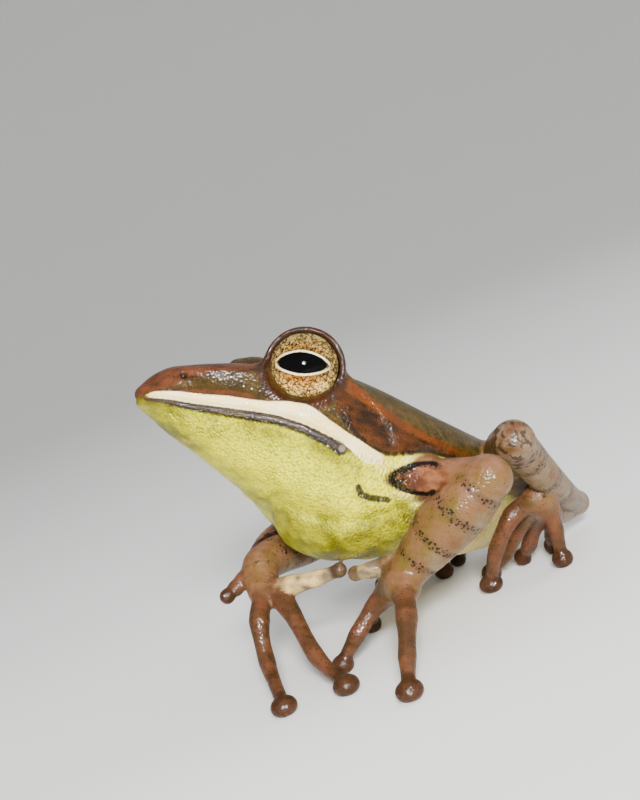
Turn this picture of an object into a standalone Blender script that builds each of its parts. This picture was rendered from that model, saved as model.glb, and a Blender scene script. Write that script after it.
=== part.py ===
"""Saddled tree frog, life size, set up on its finger and toe pads with its head turned to its right.

The tables are in millimetres and the objects in metres. +X is the frog's left, -Y its front, and Z = 0
the ground. Each form is first roughed out from curves, rings and spheres, remeshed into one skin and
then settled on a smooth mathematical surface, so that muscles run into each other as flesh does. The
skins are then cut into the sub-parts, face to face.
"""
import bmesh
import bpy
import numpy as np
from mathutils import Matrix, Vector

MM = 0.001
GAP = 0.3
ORIGIN = (-1.90, -4.09, 0.0)

# distance from the snout tip to the vent, along the spine
BODY_LENGTH = 50.0
SNOUT_TIP = (-12.1, -25.4, 31.9)
NECK = 19.6
NOSE_ROUNDING = 3.2
RUMP_ROUNDING = 5.0
SPINE_STEP = 0.25

# the spine's heading behind the snout: distance, turn to the right, pitch and roll in degrees
HEADINGS = (
    (0.0, 29.0, 31.0, 8.0),
    (15.0, 29.0, 31.0, 8.0),
    (19.0, 28.0, 38.0, 7.0),
    (24.0, 22.0, 42.0, 5.0),
    (30.0, 13.0, 36.0, 2.0),
    (38.0, 5.0, 30.0, 0.0),
    (44.0, 0.0, 26.0, 0.0),
    (52.0, 0.0, 20.0, 0.0),
)
# cross sections: distance, half width, height above and depth below the spine, squareness of both
SECTIONS = (
    (0.0, 2.1, 2.6, 0.8, 2.2, 2.0),
    (2.0, 3.0, 3.2, 1.4, 2.5, 2.0),
    (4.0, 3.9, 3.75, 2.6, 2.8, 2.0),
    (7.0, 5.2, 4.4, 4.0, 3.0, 2.0),
    (10.0, 6.7, 4.8, 5.6, 3.0, 2.0),
    (14.0, 8.4, 4.7, 7.5, 2.7, 2.1),
    (18.0, 9.3, 5.6, 10.2, 2.5, 2.2),
    (22.0, 9.2, 5.5, 11.7, 2.3, 2.4),
    (25.0, 9.2, 5.3, 11.1, 2.2, 2.5),
    (29.0, 9.0, 5.0, 9.3, 2.2, 2.5),
    (34.0, 7.9, 4.9, 8.6, 2.2, 2.3),
    (39.0, 6.8, 4.6, 7.2, 2.2, 2.1),
    (44.0, 5.9, 4.2, 5.6, 2.1, 2.1),
    (50.0, 3.8, 3.2, 3.4, 2.0, 2.0),
)

EYE_STATION = 14.2
EYE_SIDE = 6.0
EYE_HEIGHT = 4.3
EYE_RADIUS = 3.3
EYE_FORWARD = 0.35
# how far the eye looks forward, to its side and up
GAZE = (0.50, 0.86, -0.13)
LID_RADIUS = 3.8
LID_PLANE = 0.95
LID_RIM = (3.52, 0.32)

# height of the mouth line above the spine, by distance behind the snout tip, and its groove
MOUTH_LINE = (
    (0.0, -0.05), (1.1, -0.12), (4.1, -0.45), (7.3, -0.6), (9.3, -0.72), (11.3, -0.9), (13.5, -1.4),
    (16.0, -2.2), (17.6, -2.85),
)
MOUTH_END = 17.6
MOUTH_DEPTH = 0.34
MOUTH_WIDTH = 0.3
LIP_BULGE = 0.16
# hollow of the cheek between the mouth and the ridge in front of the eye: distance, height, reach of both
LORE = (6.8, 1.7, 2.6, 1.0)
LORE_DEPTH = 0.3
# distance, side and height of the nostril, and its radius
NOSTRIL = (3.3, 3.1, 2.1)
NOSTRIL_RADIUS = 0.32
# distance and height of the eardrum's middle, and its radius
EARDRUM = (18.7, 0.1)
EARDRUM_RADIUS = 1.3
# the fold of skin over the eardrum, by distance and height
FOLD = ((17.6, 3.9), (18.6, 3.0), (20.0, 1.8), (21.4, 0.5), (22.6, -1.2))
FOLD_HEIGHT = 0.34
FOLD_WIDTH = 0.55

# joints of the limbs
JOINTS = {
    "left": {
        "shoulder": (2.2, -11.2, 16.1), "elbow": (12.5, -11.4, 14.0), "wrist": (2.4, -14.7, 7.5),
        "palm": (2.8, -16.4, 6.6), "hip": (3.0, 9.4, 7.1), "knee": (13.2, -5.9, 15.7),
        "heel": (6.8, 14.7, 3.1), "instep": (9.9, 1.3, 8.0),
    },
    "right": {
        "shoulder": (-7.7, -6.3, 13.8), "elbow": (-15.1, -3.0, 9.6), "wrist": (-14.3, -14.6, 10.9),
        "palm": (-13.4, -16.5, 8.8), "hip": (-3.0, 9.4, 7.1), "knee": (-17.0, 0.5, 16.0),
        "heel": (-9.6, 19.2, 3.1), "instep": (-12.6, 11.0, 6.5),
    },
}
# bones: first joint, last joint, radii along them, and how far the middle bows out to the side and up
BONES = {
    "upper_arm": ("shoulder", "elbow", (2.0, 1.8, 1.9, 2.1), {"left": (0.0, 0.0), "right": (-0.8, 0.3)}),
    "forearm": ("elbow", "wrist", (2.2, 2.8, 2.5, 1.75), {"left": (0.0, 0.1), "right": (0.0, 0.7)}),
    "palm": ("wrist", "palm", (1.7, 1.7, 1.65, 1.6), {"left": (0.0, 0.0), "right": (0.0, 0.0)}),
    "thigh": ("hip", "knee", (2.8, 2.8, 2.5, 2.0), {"left": (-0.3, 0.9), "right": (0.3, 0.5)}),
    "shank": ("knee", "heel", (1.95, 1.75, 1.5, 1.2), {"left": (0.3, -1.3), "right": (-1.5, -0.6)}),
    "tarsus": ("heel", "instep", (1.25, 1.15, 1.15, 1.2), {"left": (-0.9, -1.2), "right": (0.0, -0.2)}),
}
# digits: root joint, knuckles, tip, and the pad's radius
DIGITS = {
    "left": {
        "finger_1": ("palm", ((1.2, -15.3, 8.6), (-0.4, -16.1, 8.8)), (-2.0, -16.3, 8.8), 0.75),
        "finger_2": ("palm", ((0.5, -15.4, 6.8), (-3.5, -12.3, 4.5)), (-8.3, -8.4, 1.0), 1.10),
        "finger_3": ("palm", ((-1.2, -15.6, 5.3), (-3.3, -17.6, 3.2)), (-5.3, -18.8, 1.0), 1.12),
        "finger_4": ("palm", ((5.1, -20.8, 5.1), (6.2, -24.2, 2.8)), (7.3, -27.1, 1.0), 1.30),
        "toe_1": ("instep", ((8.4, 4.8, 4.8), (6.7, 7.0, 2.1)), (5.8, 7.8, 0.9), 0.80),
        "toe_2": ("instep", ((7.6, 3.4, 5.4), (5.0, 4.8, 2.3)), (3.4, 5.4, 1.0), 0.95),
        "toe_3": ("instep", ((7.2, 1.2, 5.9), (3.6, 1.8, 2.6)), (1.2, 2.0, 1.0), 1.12),
        "toe_4": ("instep", ((8.3, -2.2, 7.6), (5.6, -2.9, 4.6)), (3.0, -1.8, 1.0), 1.25),
        "toe_5": ("instep", ((10.2, 1.9, 6.5), (9.9, 2.3, 4.0)), (9.4, 2.6, 1.0), 1.12),
    },
    "right": {
        "finger_1": ("palm", ((-9.4, -16.6, 8.9), (-6.6, -16.3, 9.0)), (-4.0, -15.9, 9.3), 0.75),
        "finger_2": ("palm", ((-10.0, -18.0, 7.2), (-6.0, -21.3, 3.0)), (-1.5, -24.1, 1.0), 1.30),
        "finger_3": ("palm", ((-11.9, -20.5, 7.0), (-11.2, -22.3, 3.4)), (-6.7, -27.3, 1.0), 1.30),
        "finger_4": ("palm", ((-15.4, -16.1, 10.2), (-16.2, -17.2, 9.8)), (-16.8, -18.2, 9.4), 0.80),
        "toe_1": ("instep", ((-10.6, 12.2, 4.4), (-9.0, 12.4, 2.1)), (-8.3, 12.4, 0.9), 0.80),
        "toe_2": ("instep", ((-10.4, 11.0, 4.8), (-8.0, 9.8, 2.3)), (-6.9, 9.2, 1.0), 0.95),
        "toe_3": ("instep", ((-11.0, 9.6, 5.2), (-8.4, 7.0, 2.6)), (-6.8, 5.6, 1.0), 1.12),
        "toe_4": ("instep", ((-12.4, 8.2, 5.6), (-11.2, 4.4, 3.2)), (-10.0, 1.2, 1.0), 1.12),
        "toe_5": ("instep", ((-13.8, 9.4, 5.2), (-14.4, 6.6, 2.6)), (-14.4, 4.6, 1.0), 1.12),
    },
}
DIGIT_ROOT = 1.2
# how far the skin fills the forks between digits, and the toes have short webs
FORK = {"finger": 0.7, "toe": 1.0}
DIGIT_MIDDLE = 0.86
DIGIT_SHAFT = 0.66
PAD_LIFT = 0.85
PAD_HEIGHT = 0.98
ON_GROUND = 1.05

# where each limb's last node starts, as a share of the forearm
WRIST_CUT = 0.66

VOXEL = 0.34
TRIANGLES = {"body": 5200, "arm": 1400, "thigh": 360, "shank": 300, "foot": 900, "collar": 1500}
FLESH = (0.42, 0.28, 0.16, 1.0)
EYE_COLOUR = (0.50, 0.33, 0.12, 1.0)
SKIN_ROUGHNESS = 0.4
EYE_ROUGHNESS = 0.1


def unit(v):
    v = np.asarray(v, float)
    return v / np.maximum(np.linalg.norm(v, axis=-1, keepdims=True), 1e-12)


def smoothed(values, width):
    """a run of values with its corners softened over a width along the spine"""
    reach = int(3 * width / SPINE_STEP)
    kernel = np.exp(-0.5 * (np.arange(-reach, reach + 1) * SPINE_STEP / width) ** 2)
    return np.convolve(np.pad(values, reach, mode="edge"), kernel / kernel.sum(), mode="valid")


def facing(turn, pitch, roll):
    """forward, left and up directions of a heading given in degrees"""
    turn, pitch, roll = np.radians((turn, pitch, roll))
    forward = np.array((-np.sin(turn) * np.cos(pitch), -np.cos(turn) * np.cos(pitch), np.sin(pitch)))
    left = unit(np.cross((0.0, 0.0, 1.0), forward))
    up = np.cross(forward, left)
    return forward, np.cos(roll) * left + np.sin(roll) * up, np.cos(roll) * up - np.sin(roll) * left


class Spine:
    """the line through head and trunk, with its cross sections"""

    def __init__(self):
        self.s = np.arange(-3.0, BODY_LENGTH + 4.0, SPINE_STEP)
        sections, headings = np.array(SECTIONS), np.array(HEADINGS)
        self.section = np.stack([
            smoothed(np.interp(self.s, sections[:, 0], column), 1.0) for column in sections[:, 1:].T], 1)
        bends = np.stack([
            smoothed(np.interp(self.s, headings[:, 0], column), 1.5) for column in headings[:, 1:].T], 1)
        self.forward, self.left, self.up = (np.array(v) for v in zip(*[facing(*b) for b in bends]))
        line = -np.cumsum(self.forward, 0) * SPINE_STEP
        start = [np.interp(0.0, self.s, line[:, i]) for i in range(3)]
        self.line = line - start + SNOUT_TIP

    def at(self, s, table):
        x = np.clip((np.asarray(s, float) - self.s[0]) / SPINE_STEP, 0, len(self.s) - 1.001)
        i = x.astype(int)
        t = (x - i)[..., None]
        return table[i] * (1 - t) + table[i + 1] * t

    def point(self, s, left, up):
        return self.at(s, self.line) + left * self.at(s, self.left) + up * self.at(s, self.up)

    def stations(self, p):
        """distance behind the snout, and offset to the left and up, of each point"""
        coarse = slice(0, len(self.s), 8)
        away = ((p[:, None, :] - self.line[coarse][None]) ** 2).sum(2)
        s = self.s[coarse][away.argmin(1)]
        for _ in range(5):
            s = s - ((p - self.at(s, self.line)) * self.at(s, self.forward)).sum(1)
            s = np.clip(s, self.s[0], self.s[-1] - SPINE_STEP)
        q = p - self.at(s, self.line)
        ahead = (q * self.at(s, self.forward)).sum(1)
        return s - ahead, (q * self.at(s, self.left)).sum(1), (q * self.at(s, self.up)).sum(1)


SPINE = Spine()


def join(a, b, reach):
    """the nearer of two surfaces, with the crease between them filled over a reach"""
    h = np.maximum(reach - np.abs(a - b), 0) / reach
    return np.minimum(a, b) - h * h * reach / 4


def common(a, b, reach):
    return -join(-a, -b, reach)


def swell(distance, width):
    return np.exp(-((distance / width) ** 2))


def beside(s, z, points):
    """distance in side view to a line through the given points"""
    nearest = np.full(len(s), 1e9)
    for a, b in zip(points[:-1], points[1:]):
        run, rise = b[0] - a[0], b[1] - a[1]
        t = np.clip(((s - a[0]) * run + (z - a[1]) * rise) / (run ** 2 + rise ** 2), 0, 1)
        nearest = np.minimum(nearest, np.hypot(s - a[0] - t * run, z - a[1] - t * rise))
    return nearest


def head_relief(s, x, z):
    """how far the skin stands out or in at the lips, nostrils, cheeks, eardrums and folds"""
    above = z - np.interp(s, *np.array(MOUTH_LINE).T)
    within = 1 / (1 + np.exp((s - MOUTH_END) / 0.25))
    lips = LIP_BULGE * (swell(above - 0.8, 0.55) + 0.6 * swell(above + 0.7, 0.5))
    relief = within * (lips - MOUTH_DEPTH * swell(above, MOUTH_WIDTH))
    relief = relief - LORE_DEPTH * swell(s - LORE[0], LORE[2]) * swell(z - LORE[1], LORE[3])
    nostril = np.sqrt((s - NOSTRIL[0]) ** 2 + (np.abs(x) - NOSTRIL[1]) ** 2 + (z - NOSTRIL[2]) ** 2)
    relief = relief + 0.28 * swell(nostril, 2.6 * NOSTRIL_RADIUS) - 0.6 * swell(nostril, NOSTRIL_RADIUS)
    drum = np.hypot(s - EARDRUM[0], z - EARDRUM[1])
    relief = relief + 0.1 * swell(drum - EARDRUM_RADIUS, 0.25) - 0.06 * swell(drum, EARDRUM_RADIUS)
    return relief + FOLD_HEIGHT * swell(beside(s, z, FOLD), FOLD_WIDTH)


def trunk_field(p):
    s, x, z = SPINE.stations(p)
    width, top, bottom, square_top, square_bottom = SPINE.at(s, SPINE.section).T
    height = np.where(z > 0, top, bottom)
    power = np.where(z > 0, square_top, square_bottom)
    rho = ((np.abs(x) / width + 1e-9) ** power + (np.abs(z) / height + 1e-9) ** power) ** (1 / power)
    radius = np.sqrt(x * x + z * z) / rho
    nose = np.maximum(NOSE_ROUNDING - s, 0) / NOSE_ROUNDING
    rump = np.maximum(s - (BODY_LENGTH - RUMP_ROUNDING), 0) / RUMP_ROUNDING
    return (np.sqrt(rho ** 2 + nose ** 2 + rump ** 2) - 1) * radius - head_relief(s, x, z)


def eye_place(side):
    """centre and outward direction of an eye"""
    s = EYE_STATION
    centre = SPINE.point(s, side * EYE_SIDE, EYE_HEIGHT)
    forward, left, up = (SPINE.at(s, t) for t in (SPINE.forward, SPINE.left, SPINE.up))
    return centre, unit(GAZE[0] * forward + side * GAZE[1] * left + GAZE[2] * up)


EYES = {"left": eye_place(1), "right": eye_place(-1)}


def body_field(p):
    f = trunk_field(p)
    for centre, outward in EYES.values():
        q = p - centre
        away = np.linalg.norm(q, axis=1)
        along = (q * outward).sum(1)
        across = np.sqrt(np.maximum(away ** 2 - along ** 2, 0))
        f = join(f, common(away - LID_RADIUS, along - LID_PLANE, 0.6), 1.6)
        f = common(f, np.minimum(LID_RIM[0] - across, along - LID_PLANE), 0.3)
        rim = np.hypot(across - LID_RIM[0], along - LID_PLANE) - LID_RIM[1]
        f = join(f, rim, 0.35)
    return f


def smooth_run(points, steps=5):
    """points and radii along a smooth curve through the given ones"""
    q = np.array(points, float)
    q = np.vstack((2 * q[0] - q[1], q, 2 * q[-1] - q[-2]))
    t = np.linspace(0, 1, steps, endpoint=False)[:, None]
    runs = []
    for i in range(1, len(q) - 2):
        a, b, c, d = q[i - 1:i + 3]
        bend = 2 * a - 5 * b + 4 * c - d
        twist = 3 * b - a - 3 * c + d
        runs.append(b + 0.5 * ((c - a) * t + bend * t ** 2 + twist * t ** 3))
    runs.append(q[-2][None])
    return np.vstack(runs)


def bone_run(name, side):
    start, end, radii, bows = BONES[name]
    a, b = (np.array(JOINTS[side][j]) for j in (start, end))
    bow = np.array((bows[side][0], 0.0, bows[side][1]))
    middle = [a + (b - a) * t + bow for t in (0.33, 0.67)]
    return smooth_run([(*p, r) for p, r in zip((a, *middle, b), radii)])


def digit_run(name, side):
    root, knuckles, tip, _ = DIGITS[side][name]
    points = (JOINTS[side][root], *knuckles, tip)
    shares = np.linspace(0, 1, len(points))
    radii = np.interp(shares, (0.0, 0.5, 1.0), (DIGIT_ROOT, DIGIT_MIDDLE, DIGIT_SHAFT))
    return smooth_run([(*p, r) for p, r in zip(points, radii)])


def digits_of(kind):
    return [name for name in DIGITS["left"] if name.startswith(kind)]


RUNS = {
    side: {
        **{name: bone_run(name, side) for name in BONES},
        **{name: digit_run(name, side) for name in DIGITS[side]},
    } for side in JOINTS
}


def tube_field(p, run):
    f = np.full(len(p), 1e9)
    for a, b in zip(run[:-1], run[1:]):
        d = b[:3] - a[:3]
        t = np.clip((p - a[:3]) @ d / (d @ d), 0, 1)
        f = np.minimum(f, np.linalg.norm(p - a[:3] - t[:, None] * d, axis=1) - (a[3] + t * (b[3] - a[3])))
    return f


def pad_field(p, tip, radius):
    if tip[2] > ON_GROUND:
        return np.linalg.norm(p - tip, axis=1) - radius
    size = np.array((radius, radius, PAD_HEIGHT))
    q = (p - (tip[0], tip[1], PAD_LIFT)) / size
    n = np.linalg.norm(q, axis=1)
    return n * (n - 1) / np.maximum(np.linalg.norm(q / size, axis=1), 1e-9)


def limb_field(p, bones, digits, side):
    f = None
    for name in bones:
        tube = tube_field(p, RUNS[side][name])
        f = tube if f is None else join(f, tube, 0.8)
    for name in digits:
        tip, radius = DIGITS[side][name][2:]
        digit = join(tube_field(p, RUNS[side][name]), pad_field(p, np.array(tip), radius), 0.35)
        f = join(f, digit, FORK[name.split("_")[0]])
    return f


def settle(mesh, field, steps=7):
    """moves a mesh's vertices onto a field's zero surface"""
    count = len(mesh.vertices)
    flat = np.empty(count * 3, np.float32)
    mesh.vertices.foreach_get("co", flat)
    p = flat.reshape(-1, 3).astype(float) / MM
    nudge = 1e-3
    for _ in range(steps):
        f = field(p)
        slope = np.stack([(field(p + nudge * axis) - f) / nudge for axis in np.eye(3)], 1)
        move = -f[:, None] * slope / np.maximum((slope ** 2).sum(1), 0.05)[:, None]
        length = np.linalg.norm(move, axis=1, keepdims=True)
        p = p + move * np.minimum(1, 0.4 / np.maximum(length, 1e-9))
    mesh.vertices.foreach_set("co", (p * MM).astype(np.float32).ravel())
    mesh.update()


def collection(name):
    made = bpy.data.collections.new(name)
    bpy.context.scene.collection.children.link(made)
    return made


def place(mesh, name, into):
    obj = bpy.data.objects.new(name, mesh)
    into.objects.link(obj)
    return obj


def ball(centre, radius, into, name="ball"):
    bm = bmesh.new()
    spot = Matrix.Translation(Vector(centre) * MM)
    bmesh.ops.create_icosphere(bm, subdivisions=3, radius=radius * MM, matrix=spot)
    mesh = bpy.data.meshes.new(name)
    bm.to_mesh(mesh)
    bm.free()
    return place(mesh, name, into)


def tube(run, into):
    """a rounded rod along a run of points and radii"""
    curve = bpy.data.curves.new("tube", "CURVE")
    curve.dimensions = "3D"
    curve.bevel_depth = MM
    curve.bevel_resolution = 3
    curve.use_fill_caps = True
    spline = curve.splines.new("POLY")
    spline.points.add(len(run) - 1)
    for point, (x, y, z, radius) in zip(spline.points, run):
        point.co = (x * MM, y * MM, z * MM, 1.0)
        point.radius = radius
    source = place(curve, "tube", into)
    mesh = evaluated(source)
    bm = bmesh.new()
    bm.from_mesh(mesh)
    bmesh.ops.remove_doubles(bm, verts=bm.verts, dist=0.01 * MM)
    bm.to_mesh(mesh)
    bm.free()
    bpy.data.objects.remove(source)
    return [place(mesh, "tube", into), ball(run[0][:3], run[0][3], into), ball(run[-1][:3], run[-1][3], into)]


def evaluated(obj):
    graph = bpy.context.evaluated_depsgraph_get()
    graph.update()
    return bpy.data.meshes.new_from_object(obj.evaluated_get(graph))


def applied(obj):
    """takes an object's modifiers into its mesh"""
    mesh = evaluated(obj)
    obj.modifiers.clear()
    obj.data = mesh
    return obj


def skin_of(pieces, name, into, field, triangles):
    """one closed skin round overlapping pieces, settled on its field and thinned"""
    bm = bmesh.new()
    for piece in pieces:
        bm.from_mesh(piece.data)
        bpy.data.objects.remove(piece)
    mesh = bpy.data.meshes.new(name)
    bm.to_mesh(mesh)
    bm.free()
    obj = place(mesh, name, into)
    voxels = obj.modifiers.new("one skin", "REMESH")
    voxels.mode = "VOXEL"
    voxels.voxel_size = VOXEL * MM
    applied(obj)
    settle(obj.data, field)
    bm = bmesh.new()
    bm.from_mesh(obj.data)
    bmesh.ops.triangulate(bm, faces=bm.faces)
    faces = len(bm.faces)
    bm.to_mesh(obj.data)
    bm.free()
    thin = obj.modifiers.new("thinned", "DECIMATE")
    thin.ratio = min(1.0, triangles / faces)
    return applied(obj)


def body_skin(into, name, grown=0.0, triangles=TRIANGLES["body"]):
    """the head and trunk in one: rings of the cross sections, capped, with the bulges of the eyes"""
    ring = 40
    turn = np.arange(ring) * 2 * np.pi / ring
    stations = np.concatenate((
        NOSE_ROUNDING * (1 - np.cos(np.linspace(0.15, np.pi / 2, 6))),
        np.arange(NOSE_ROUNDING + 1.2, BODY_LENGTH - RUMP_ROUNDING, 1.2),
        BODY_LENGTH - RUMP_ROUNDING * (1 - np.cos(np.linspace(np.pi / 2, 0.15, 6)))))
    bm = bmesh.new()
    rings = []
    for s in stations:
        width, top, bottom, square_top, square_bottom = SPINE.at(s, SPINE.section)
        nose = max(NOSE_ROUNDING - s, 0) / NOSE_ROUNDING
        rump = max(s - (BODY_LENGTH - RUMP_ROUNDING), 0) / RUMP_ROUNDING
        scale = np.sqrt(max(1 - nose ** 2 - rump ** 2, 0))
        up = np.cos(turn)
        height = np.where(up > 0, top, bottom)
        power = np.where(up > 0, square_top, square_bottom)
        sideways = (np.abs(np.sin(turn)) / width) ** power
        radius = scale / (sideways + (np.abs(up) / height) ** power) ** (1 / power)
        rings.append([
            bm.verts.new(SPINE.point(s, r * np.sin(t), r * np.cos(t)) * MM) for r, t in zip(radius, turn)])
    for a, b in zip(rings[:-1], rings[1:]):
        for i in range(ring):
            j = (i + 1) % ring
            bm.faces.new((a[i], a[j], b[j], b[i]))
    bm.faces.new(rings[0])
    bm.faces.new(reversed(rings[-1]))
    bmesh.ops.recalc_face_normals(bm, faces=bm.faces)
    mesh = bpy.data.meshes.new(name)
    bm.to_mesh(mesh)
    bm.free()
    pieces = [place(mesh, "trunk", into)]
    pieces += [ball(centre, LID_RADIUS, into) for centre, _ in EYES.values()]
    return skin_of(pieces, name, into, lambda p: body_field(p) - grown, triangles)


def limb_skin(name, bones, side, into, digits=()):
    pieces = []
    for part in (*bones, *digits):
        pieces += tube(RUNS[side][part], into)
    for digit in digits:
        tip, radius = DIGITS[side][digit][2:]
        pieces.append(ball(tip, radius, into))
    return skin_of(pieces, name, into, lambda p: limb_field(p, bones, digits, side), TRIANGLES[name])


def half_space(point, normal, into, size=80.0):
    """a large block whose face passes through a point and that lies on the side the normal shows"""
    normal = Vector(unit(normal))
    bm = bmesh.new()
    bmesh.ops.create_cube(bm, size=size * MM)
    mesh = bpy.data.meshes.new("block")
    bm.to_mesh(mesh)
    bm.free()
    turn = normal.to_track_quat("Z", "Y").to_matrix().to_4x4()
    mesh.transform(Matrix.Translation((Vector(point) + normal * size / 2) * MM) @ turn)
    return place(mesh, "block", into)


def cut(obj, cutter, operation):
    """a Boolean that is applied, keeping the largest closed surface, and removes its cutter"""
    change = obj.modifiers.new("cut", "BOOLEAN")
    change.operation = operation
    change.object = cutter
    change.solver = "MANIFOLD"
    applied(obj)
    bpy.data.objects.remove(cutter)
    keep_largest(obj.data)
    return obj


def keep_largest(mesh):
    bm = bmesh.new()
    bm.from_mesh(mesh)
    bmesh.ops.triangulate(bm, faces=bm.faces)
    left, groups = set(bm.verts), []
    while left:
        stack, group = [left.pop()], set()
        while stack:
            vert = stack.pop()
            group.add(vert)
            for edge in vert.link_edges:
                other = edge.other_vert(vert)
                if other in left:
                    left.remove(other)
                    stack.append(other)
        groups.append(group)
    largest = max(groups, key=len)
    loose = [v for v in bm.verts if v not in largest]
    bmesh.ops.delete(bm, geom=loose, context="VERTS")
    bm.to_mesh(mesh)
    bm.free()


def copy_of(obj, name, into):
    return place(obj.data.copy(), name, into)


def split(obj, point, normal, near, far, into, cutters):
    """cuts an object in two at a plane, with the gap between; the far piece is on the normal's side"""
    normal = unit(normal)
    far_piece = copy_of(obj, far, into)
    cut(far_piece, half_space(point + normal * GAP / 2, normal, cutters), "INTERSECT")
    cut(obj, half_space(point - normal * GAP / 2, -normal, cutters), "INTERSECT")
    obj.name = near
    return obj, far_piece


def fold_plane(side, joint, first, second):
    """the plane through a folded joint that runs between the two bones"""
    corner = np.array(JOINTS[side][joint])
    a, b = (RUNS[side][name][:, :3] for name in (first, second))
    a, b = a[len(a) // 2], b[len(b) // 2]
    apart = b - a
    middle = unit((a + b) / 2 - corner)
    return corner, apart - middle * (apart @ middle)


def material(name, colour, roughness):
    made = bpy.data.materials.new(name)
    made.use_nodes = True
    shader = made.node_tree.nodes["Principled BSDF"]
    shader.inputs["Base Color"].default_value = colour
    shader.inputs["Roughness"].default_value = roughness
    shader.inputs["Metallic"].default_value = 0.0
    return made


def finish(obj, colour, roughness):
    obj.data.name = obj.name
    obj.data.transform(Matrix.Translation(-Vector(ORIGIN) * MM))
    obj.data.materials.clear()
    obj.data.materials.append(material(obj.name, colour, roughness))
    obj.data.shade_smooth()


def make_body(frog, cutters):
    body = body_skin(frog, "head")
    point, forward = SPINE.at(NECK, SPINE.line), SPINE.at(NECK, SPINE.forward)
    head, torso = split(body, point, -forward, "head", "torso", frog, cutters)
    nodes = [head, torso]
    for side, (socket, outward) in EYES.items():
        centre = socket + EYE_FORWARD * outward
        cut(head, ball(centre, EYE_RADIUS + GAP, cutters), "DIFFERENCE")
        nodes.append(ball(centre, EYE_RADIUS, frog, "eye_" + side))
    return nodes


def trim(obj, cutters, point, normal):
    """leaves what lies on the normal's side of a plane, less half the gap"""
    normal = unit(normal)
    return cut(obj, half_space(point + normal * GAP / 2, normal, cutters), "INTERSECT")


def clear_of_body(obj, cutters):
    return cut(obj, body_skin(cutters, "collar", GAP, TRIANGLES["collar"]), "DIFFERENCE")


def on_ground(obj, cutters):
    return cut(obj, half_space((0, 0, 0), (0, 0, 1), cutters), "INTERSECT")


def make_arm(side, frog, cutters):
    arm = limb_skin("arm", ("upper_arm", "forearm", "palm"), side, frog, digits_of("finger"))
    on_ground(clear_of_body(arm, cutters), cutters)
    elbow, wrist = (np.array(JOINTS[side][j]) for j in ("elbow", "wrist"))
    point = elbow + (wrist - elbow) * WRIST_CUT
    arm, hand = split(arm, point, wrist - elbow, "arm", "hand_" + side, frog, cutters)
    point, normal = fold_plane(side, "elbow", "upper_arm", "forearm")
    upper, lower = split(arm, point, normal, "upper_arm_" + side, "forearm_" + side, frog, cutters)
    return [upper, lower, hand]


def make_leg(side, frog, cutters):
    knee, knee_normal = fold_plane(side, "knee", "thigh", "shank")
    heel, heel_normal = fold_plane(side, "heel", "shank", "tarsus")
    thigh = limb_skin("thigh", ("thigh",), side, frog)
    trim(clear_of_body(thigh, cutters), cutters, knee, -knee_normal)
    shank = limb_skin("shank", ("shank",), side, frog)
    trim(trim(shank, cutters, knee, knee_normal), cutters, heel, -heel_normal)
    foot = limb_skin("foot", ("tarsus",), side, frog, digits_of("toe"))
    on_ground(trim(foot, cutters, heel, heel_normal), cutters)
    for node in (thigh, shank, foot):
        node.name += "_" + side
    return [thigh, shank, foot]


def main():
    for obj in list(bpy.data.objects):
        bpy.data.objects.remove(obj)
    frog, cutters = collection("saddled tree frog"), collection("cutters")
    nodes = make_body(frog, cutters)
    for side in JOINTS:
        nodes += make_arm(side, frog, cutters)
        nodes += make_leg(side, frog, cutters)
    for node in nodes:
        eye = node.name.startswith("eye")
        finish(node, EYE_COLOUR if eye else FLESH, EYE_ROUGHNESS if eye else SKIN_ROUGHNESS)


main()
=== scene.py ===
"""Saddled tree frog: skin, eyes, stage and camera.

The frame gives the plain solids, and this script dresses them. The skin is one surface over every
flesh node: the forms are roughed out, remeshed into one and settled on a smooth mathematical
surface, which also carries the lips, lids, nostrils, eardrums and folds. Each marking is stored on
the skin as its distance in millimetres, and the skin's material turns those into colours.
"""

import bmesh
import bpy
import numpy as np
from bpy.props import FloatProperty, FloatVectorProperty, PointerProperty
from mathutils import Matrix, Vector


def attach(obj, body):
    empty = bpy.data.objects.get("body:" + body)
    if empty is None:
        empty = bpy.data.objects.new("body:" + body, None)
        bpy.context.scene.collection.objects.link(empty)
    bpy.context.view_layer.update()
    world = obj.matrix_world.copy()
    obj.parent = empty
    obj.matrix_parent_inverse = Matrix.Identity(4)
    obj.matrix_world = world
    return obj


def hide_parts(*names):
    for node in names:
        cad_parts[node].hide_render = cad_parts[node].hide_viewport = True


bl_info = {
    "name": "Saddled tree frog",
    "version": (1, 0, 0),
    "blender": (4, 5, 0),
    "location": "3D View > Sidebar > Frog",
    "description": "Dresses the frog's frame with skin and eyes, and sets up its stage",
    "category": "Object",
}

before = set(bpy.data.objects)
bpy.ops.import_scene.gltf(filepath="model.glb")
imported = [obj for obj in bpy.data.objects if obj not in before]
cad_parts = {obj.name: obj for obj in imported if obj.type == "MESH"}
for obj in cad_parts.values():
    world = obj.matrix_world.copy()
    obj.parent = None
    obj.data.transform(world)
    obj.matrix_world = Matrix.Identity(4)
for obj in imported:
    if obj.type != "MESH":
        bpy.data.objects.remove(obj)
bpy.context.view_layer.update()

MM = 0.001
ORIGIN = (-1.90, -4.09, 0.0)
FLESH_NODES = [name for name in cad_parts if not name.startswith("eye")]

# the spine and the cross sections, as the frame has them
BODY_LENGTH = 50.0
SNOUT_TIP = (-12.1, -25.4, 31.9)
NOSE_ROUNDING = 3.2
RUMP_ROUNDING = 5.0
SPINE_STEP = 0.25

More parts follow.
